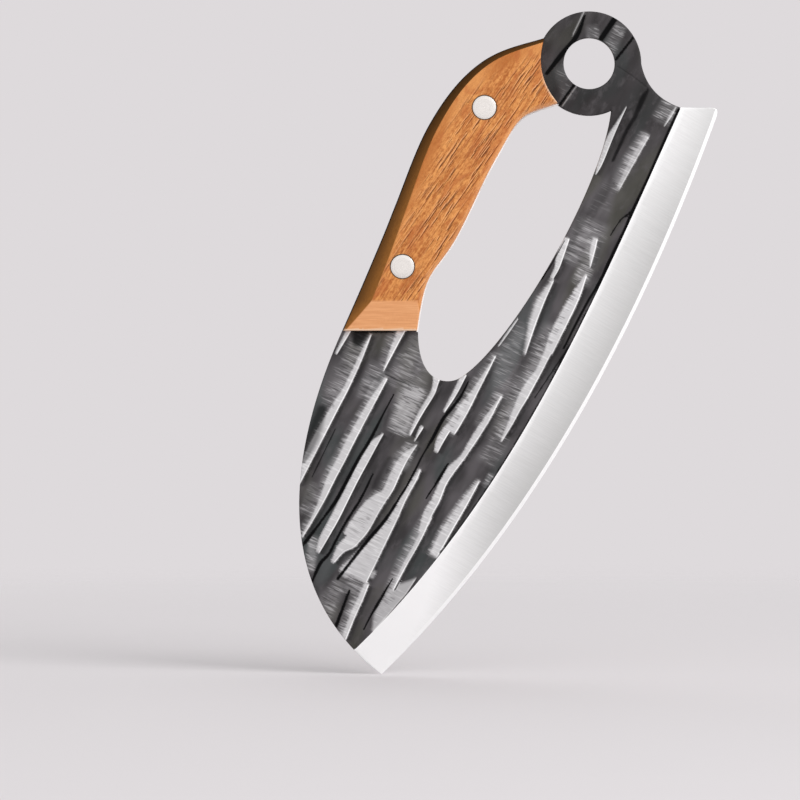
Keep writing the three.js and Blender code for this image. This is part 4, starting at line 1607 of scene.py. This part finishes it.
    def build(self, wood: bpy.types.Material) -> bpy.types.Object:
        """Builds and dresses the scale.

        Args:
            wood: Its material.

        Returns:
            The piece.
        """
        outer = self.loop()
        rivets = self.outline.rivets()
        heads, barrels = (
            [wound(arc(centre, radius, 0.0, 360.0, self.hole_points)[:-1], hole=True) for centre in rivets]
            for radius in (self.head_hole, self.blade.hole_radius)
        )
        flat = fill([outer, *heads], [], self.grid([outer, *heads]))
        height, looks = self.surface(flat.points, closed(outer))
        seat = self.blade.half - self.blade.seat_depth
        shell = Shell()
        sign = self.face.value
        top = shell.add(flat.points, sign * (seat + height), looks)
        shell.cover(top, flat.triangles, self.face, 0)
        rim = flat.loops[0]
        wall_looks = {name: values[rim] for name, values in looks.items() if name != "hem"}
        hem = shell.add(flat.points[rim], sign * (seat + height[rim] - self.hem), wall_looks)
        under = fill([outer, *barrels], [], np.zeros((0, 2)))
        base_looks = {name: np.zeros(len(under.points)) for name in wall_looks}
        for name, values in wall_looks.items():
            base_looks[name][under.loops[0]] = values
        base = shell.add(under.points, sign * seat, base_looks)
        far = Face.REAR if self.face is Face.FRONT else Face.FRONT
        shell.cover(base, under.triangles, far, 0)
        self.wall(shell, top[rim], hem)
        self.wall(shell, hem, base[under.loops[0]])
        floor = sign * (seat + self.thickness - self.head_depth)
        for place in range(len(rivets)):
            # The counterbores' floors and walls carry full painted shade.
            shelf = shell.add(heads[place], floor, {"rim": 1.0})
            lip = shell.add(barrels[place], floor, {"rim": 1.0})
            self.wall(shell, top[flat.loops[place + 1]], shelf)
            self.wall(shell, shelf, lip)
            self.wall(shell, lip, base[under.loops[place + 1]])
        return shell.finish(f"{self.face.name.lower()}_grip_scale", [wood], SHARP_ANGLE)

    def wall(self, shell: Shell, top: np.ndarray, base: np.ndarray) -> None:
        """Adds a wall from a loop on the outer side to one nearer the tang."""
        pair = (top, base) if self.face is Face.FRONT else (base, top)
        shell.band(*pair, 0)


@dataclass
class CutlersRivet:
    """Half of a rivet, turned by a tree of geometry nodes."""

    name: str
    centre: np.ndarray
    half: RivetHalf
    head_radius: float = 4.0
    head_face: float = 8.25
    head_under: float = 6.75
    arris: float = 0.2
    dome: float = 0.04
    pin_radius: float = 1.5
    barrel_radius: float = 2.5
    bore_radius: float = 1.6
    bore_floor: float = 5.75
    end_gap: float = 0.3
    facets: int = 72
    sharp_angle: float = 40.0

    def sizes(self) -> dict[str, Any]:
        """Values of the tree's inputs, in metres."""
        pin = self.half is RivetHalf.PIN
        end = self.end_gap - (self.bore_floor if pin else self.head_under)
        lengths = {
            "Head Radius": self.head_radius,
            "Head Face": self.head_face,
            "Head Under": self.head_under,
            "Arris": self.arris,
            "Dome": self.dome,
            "Shank Radius": self.pin_radius if pin else self.barrel_radius,
            "Shank End": end,
            "Bore Radius": 0.0 if pin else self.bore_radius,
            "Bore Floor": end if pin else self.bore_floor,
        }
        values: dict[str, Any] = {name: length * MM for name, length in lengths.items()}
        values["Side"] = float(self.half.value)
        values["Facets"] = self.facets
        values["Place"] = (self.centre[0] * MM, 0.0, self.centre[1] * MM)
        return values

    def build(self, tree: bpy.types.NodeTree, steel: bpy.types.Material) -> bpy.types.Object:
        """Turns the piece and makes it a plain mesh.

        Args:
            tree: Tree that turns a rivet half.
            steel: Its material.

        Returns:
            The piece.
        """
        piece = bpy.data.objects.new(self.name, bpy.data.meshes.new(self.name))
        bpy.context.collection.objects.link(piece)
        modifier = piece.modifiers.new("turning", "NODES")
        modifier.node_group = tree
        values = {**self.sizes(), "Finish": steel}
        for socket in tree.interface.items_tree:
            if socket.in_out == "INPUT" and socket.name in values:
                modifier[socket.identifier] = values[socket.name]
        turned = piece.evaluated_get(bpy.context.evaluated_depsgraph_get())
        mesh = bpy.data.meshes.new_from_object(turned)
        piece.modifiers.clear()
        piece.data = mesh
        mesh.set_sharp_from_angle(angle=math.radians(self.sharp_angle))
        return piece


class RivetTree(NodeTree):
    """Geometry nodes that turn a rivet half from its profile."""

    LENGTHS = ("Head Radius", "Head Face", "Head Under", "Arris", "Dome", "Shank Radius", "Shank End",
               "Bore Radius", "Bore Floor")
    BROW_PLACE = 0.6
    BROW_DROP = 0.36
    BEND = 0.3

    def __init__(self) -> None:
        """Names the inputs of an empty tree."""
        self.tree = bpy.data.node_groups.new("turned_rivet", "GeometryNodeTree")
        face = self.tree.interface
        for name in (*self.LENGTHS, "Side"):
            face.new_socket(name, in_out="INPUT", socket_type="NodeSocketFloat")
        face.new_socket("Facets", in_out="INPUT", socket_type="NodeSocketInt")
        face.new_socket("Place", in_out="INPUT", socket_type="NodeSocketVector")
        face.new_socket("Finish", in_out="INPUT", socket_type="NodeSocketMaterial")
        face.new_socket("Geometry", in_out="OUTPUT", socket_type="NodeSocketGeometry")
        self.given = self.tree.nodes.new("NodeGroupInput").outputs

    def profile(self) -> list[tuple[Any, Any]]:
        """Radius and height of each point of the half section, from the head round to the bore."""
        given = self.given
        shy = self.sum("SUBTRACT", given["Head Radius"], given["Arris"])
        middle = self.times(shy, self.BROW_PLACE)
        bend = self.sum("SUBTRACT", given["Head Radius"], self.times(given["Arris"], self.BEND))
        brow = self.sum("SUBTRACT", given["Head Face"], self.times(given["Dome"], self.BROW_DROP))
        rise = self.sum("SUBTRACT", given["Head Face"], given["Dome"])
        turn = self.sum("SUBTRACT", rise, self.times(given["Arris"], self.BEND))
        shoulder = self.sum("SUBTRACT", rise, given["Arris"])
        return [
            (0.0, given["Head Face"]),
            (middle, brow),
            (shy, rise),
            (bend, turn),
            (given["Head Radius"], shoulder),
            (given["Head Radius"], given["Head Under"]),
            (given["Shank Radius"], given["Head Under"]),
            (given["Shank Radius"], given["Shank End"]),
            (given["Bore Radius"], given["Shank End"]),
            (given["Bore Radius"], given["Bore Floor"]),
            (0.0, given["Bore Floor"]),
        ]

    def build(self) -> bpy.types.NodeTree:
        """Joins the nodes up.

        Returns:
            The tree.
        """
        given = self.given
        rows = self.profile()
        around = self.sum("ADD", given["Facets"], 1.0)
        grid = self.add("GeometryNodeMeshGrid", {"Vertices X": len(rows), "Vertices Y": around})
        index = self.add("GeometryNodeInputIndex", {}).outputs[0]
        row = self.sum("FLOOR", self.sum("DIVIDE", self.sum("ADD", index, 0.5), around), 0.0)
        step = self.sum("SUBTRACT", index, self.times(row, around))
        angle = self.times(self.sum("DIVIDE", step, given["Facets"]), 2.0 * math.pi)
        choice = self.add("GeometryNodeIndexSwitch", {}, data_type="VECTOR")
        while len(choice.index_switch_items) < len(rows):
            choice.index_switch_items.new()
        self.tree.links.new(row, choice.inputs["Index"])
        for place, (radius, height) in enumerate(rows):
            point = self.add("ShaderNodeCombineXYZ", {"X": radius, "Y": height})
            self.tree.links.new(point.outputs[0], choice.inputs[place + 1])
        section = self.add("ShaderNodeSeparateXYZ", {0: choice.outputs[0]}).outputs
        corner = self.add("ShaderNodeCombineXYZ", {
            "X": self.times(section["X"], self.sum("COSINE", angle, 0.0)),
            "Y": self.times(section["Y"], given["Side"]),
            "Z": self.times(section["X"], self.sum("SINE", angle, 0.0)),
        })
        kept = self.add("GeometryNodeStoreNamedAttribute", {
            "Geometry": grid.outputs["Mesh"], "Name": "turning", "Value": section["X"],
        }, data_type="FLOAT", domain="POINT")
        turned = self.add("GeometryNodeSetPosition", {
            "Geometry": kept.outputs[0], "Position": corner.outputs[0],
        })
        welded = self.add("GeometryNodeMergeByDistance", {
            "Geometry": turned.outputs[0], "Distance": WELD,
        })
        flipped = self.add("GeometryNodeFlipFaces", {
            "Mesh": welded.outputs[0], "Selection": self.sum("GREATER_THAN", given["Side"], 0.0),
        })
        even = self.add("GeometryNodeSetShadeSmooth", {"Geometry": flipped.outputs[0]})
        seat = self.add("GeometryNodePoints", {"Count": 1, "Position": given["Place"]})
        set_in = self.add("GeometryNodeInstanceOnPoints", {
            "Points": seat.outputs[0], "Instance": even.outputs[0],
        })
        real = self.add("GeometryNodeRealizeInstances", {"Geometry": set_in.outputs[0]})
        dressed = self.add("GeometryNodeSetMaterial", {
            "Geometry": real.outputs[0], "Material": given["Finish"],
        })
        self.add("NodeGroupOutput", {0: dressed.outputs[0]})
        return self.tree


@dataclass(frozen=True)
class Studio:
    """Pale floor, soft light and a level camera in front of the knife."""

    paper: Colour = colour(222, 218, 220)
    floor_radius: float = 1600.0
    floor_fade: Pair = (350.0, 900.0)
    light_left: float = 0.52
    light_right: float = 0.86
    aim: Pair = (-36.8, 93.2)
    frame_width: float = 272.0
    distance: float = 1300.0
    sensor: float = 36.0

    def floor(self) -> None:
        """Builds the floor, which runs out into the backdrop's colour."""
        made = bpy.data.materials.new("paper_floor")
        sheet = NodeSheet(made)
        place = sheet.add("ShaderNodeTexCoord").outputs["Object"]
        far = sheet.add("ShaderNodeVectorMath", {0: place}, operation="LENGTH").outputs["Value"]
        fade = sheet.ramp(far, self.floor_fade[0] * MM, self.floor_fade[1] * MM)
        paper = sheet.add("ShaderNodeBsdfDiffuse", {"Color": (*self.paper, 1.0)}).outputs[0]
        clear = sheet.add("ShaderNodeBsdfTransparent").outputs[0]
        joined = sheet.add("ShaderNodeMixShader", {0: fade, 1: paper, 2: clear}).outputs[0]
        sheet.add("ShaderNodeOutputMaterial", {"Surface": joined})
        turn = np.linspace(0.0, 2.0 * math.pi, 64, endpoint=False)
        rim = [(math.cos(a) * self.floor_radius * MM, math.sin(a) * self.floor_radius * MM, 0.0)
               for a in turn]
        mesh = bpy.data.meshes.new("floor")
        mesh.from_pydata(rim, [], [list(range(len(rim)))])
        mesh.materials.append(made)
        floor = bpy.data.objects.new("floor", mesh)
        bpy.context.collection.objects.link(floor)

    def world(self) -> None:
        """Lights the room, brighter from the right, and shows the backdrop's colour to the camera."""
        world = bpy.data.worlds.new("studio")
        bpy.context.scene.world = world
        sheet = NodeSheet(world)
        way = sheet.add("ShaderNodeTexCoord").outputs["Generated"]
        x = sheet.add("ShaderNodeSeparateXYZ", {0: way}).outputs["X"]
        strength = sheet.ramp(x, -0.8, 0.8, self.light_left, self.light_right)
        light = sheet.add("ShaderNodeBackground", {"Color": (1.0, 1.0, 1.0, 1.0), "Strength": strength})
        shown = sheet.add("ShaderNodeBackground", {"Color": (*self.paper, 1.0), "Strength": 1.0})
        rays = sheet.add("ShaderNodeLightPath").outputs
        seen = sheet.sum("MAXIMUM", rays["Is Camera Ray"], rays["Is Glossy Ray"])
        seen = sheet.sum("MAXIMUM", seen, rays["Is Transmission Ray"])
        both = sheet.add("ShaderNodeMixShader", {0: seen, 1: light.outputs[0], 2: shown.outputs[0]})
        sheet.add("ShaderNodeOutputWorld", {"Surface": both.outputs[0]})

    def lamp(self, name: str, place: Triple, size: float, power: float) -> None:
        """Adds a soft square lamp that looks at the middle of the knife.

        Args:
            name: Its name.
            place: Its middle in metres.
            size: Its side in metres.
            power: Its power in watts.
        """
        light = bpy.data.lights.new(name, "AREA")
        light.shape = "SQUARE"
        light.size = size
        light.energy = power
        lamp = bpy.data.objects.new(name, light)
        aim = Vector((self.aim[0] * MM, 0.0, self.aim[1] * MM)) - Vector(place)
        lamp.location = place
        lamp.rotation_euler = aim.to_track_quat("-Z", "Y").to_euler()
        lamp.visible_camera = False
        bpy.context.collection.objects.link(lamp)

    def camera(self) -> None:
        """Sets the camera level in front of the knife."""
        lens = bpy.data.cameras.new("camera")
        lens.sensor_width = self.sensor
        lens.lens = self.sensor * self.distance / self.frame_width
        camera = bpy.data.objects.new("camera", lens)
        camera.location = (self.aim[0] * MM, -self.distance * MM, self.aim[1] * MM)
        camera.rotation_euler = (math.radians(90.0), 0.0, 0.0)
        bpy.context.collection.objects.link(camera)
        bpy.context.scene.camera = camera

    def build(self) -> None:
        """Sets the whole studio up."""
        bpy.context.scene.view_settings.view_transform = "Standard"
        self.floor()
        self.world()
        self.lamp("key", (1.5, -1.3, 1.2), 1.2, 23.0)
        self.lamp("front", (-0.1, -2.4, 0.6), 3.0, 10.0)
        self.lamp("rear", (-0.6, 2.4, 0.9), 2.6, 18.0)
        self.camera()


def settle(piece: bpy.types.Object, node: str) -> None:
    """Sets a finished piece in the frame and reports it.

    Args:
        piece: The piece.
        node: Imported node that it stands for.
    """
    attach(piece, BODY)
    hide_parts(node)
    triangles = sum(len(face.vertices) - 2 for face in piece.data.polygons)
    LOG.info("%s stands for %s: %d triangles", piece.name, node, triangles)


def main() -> None:
    """Builds the pieces, then the studio, and keeps the sizes."""
    logging.basicConfig(level=logging.INFO)
    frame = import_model()
    LOG.info("packed nodes: %s", ", ".join(frame["nodes"]))
    outline = Outline.fitted(*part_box("blade"))
    blade = Blade(outline)
    front = Hammering(FLUTES, PATCHES, CREASES)
    marks = {Face.FRONT: front, Face.REAR: replace(front, shift=REAR_SHIFT)}
    settle(blade.build(marks), "blade")
    wood = GripWood().material()
    for face in Face:
        scale = GripScale(outline, blade, face).build(wood)
        settle(scale, f"{face.name.lower()}_scale")
    tree = RivetTree().build()
    steel = RivetSteel().material()
    for place, centre in zip(("upper", "lower"), outline.rivets()):
        for half in RivetHalf:
            part = half.name.lower()
            rivet = CutlersRivet(f"{place}_{part}", centre, half).build(tree, steel)
            settle(rivet, f"{place}_rivet_{part}")
    Studio().build()
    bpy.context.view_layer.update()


if __name__ == "__main__":
    main()
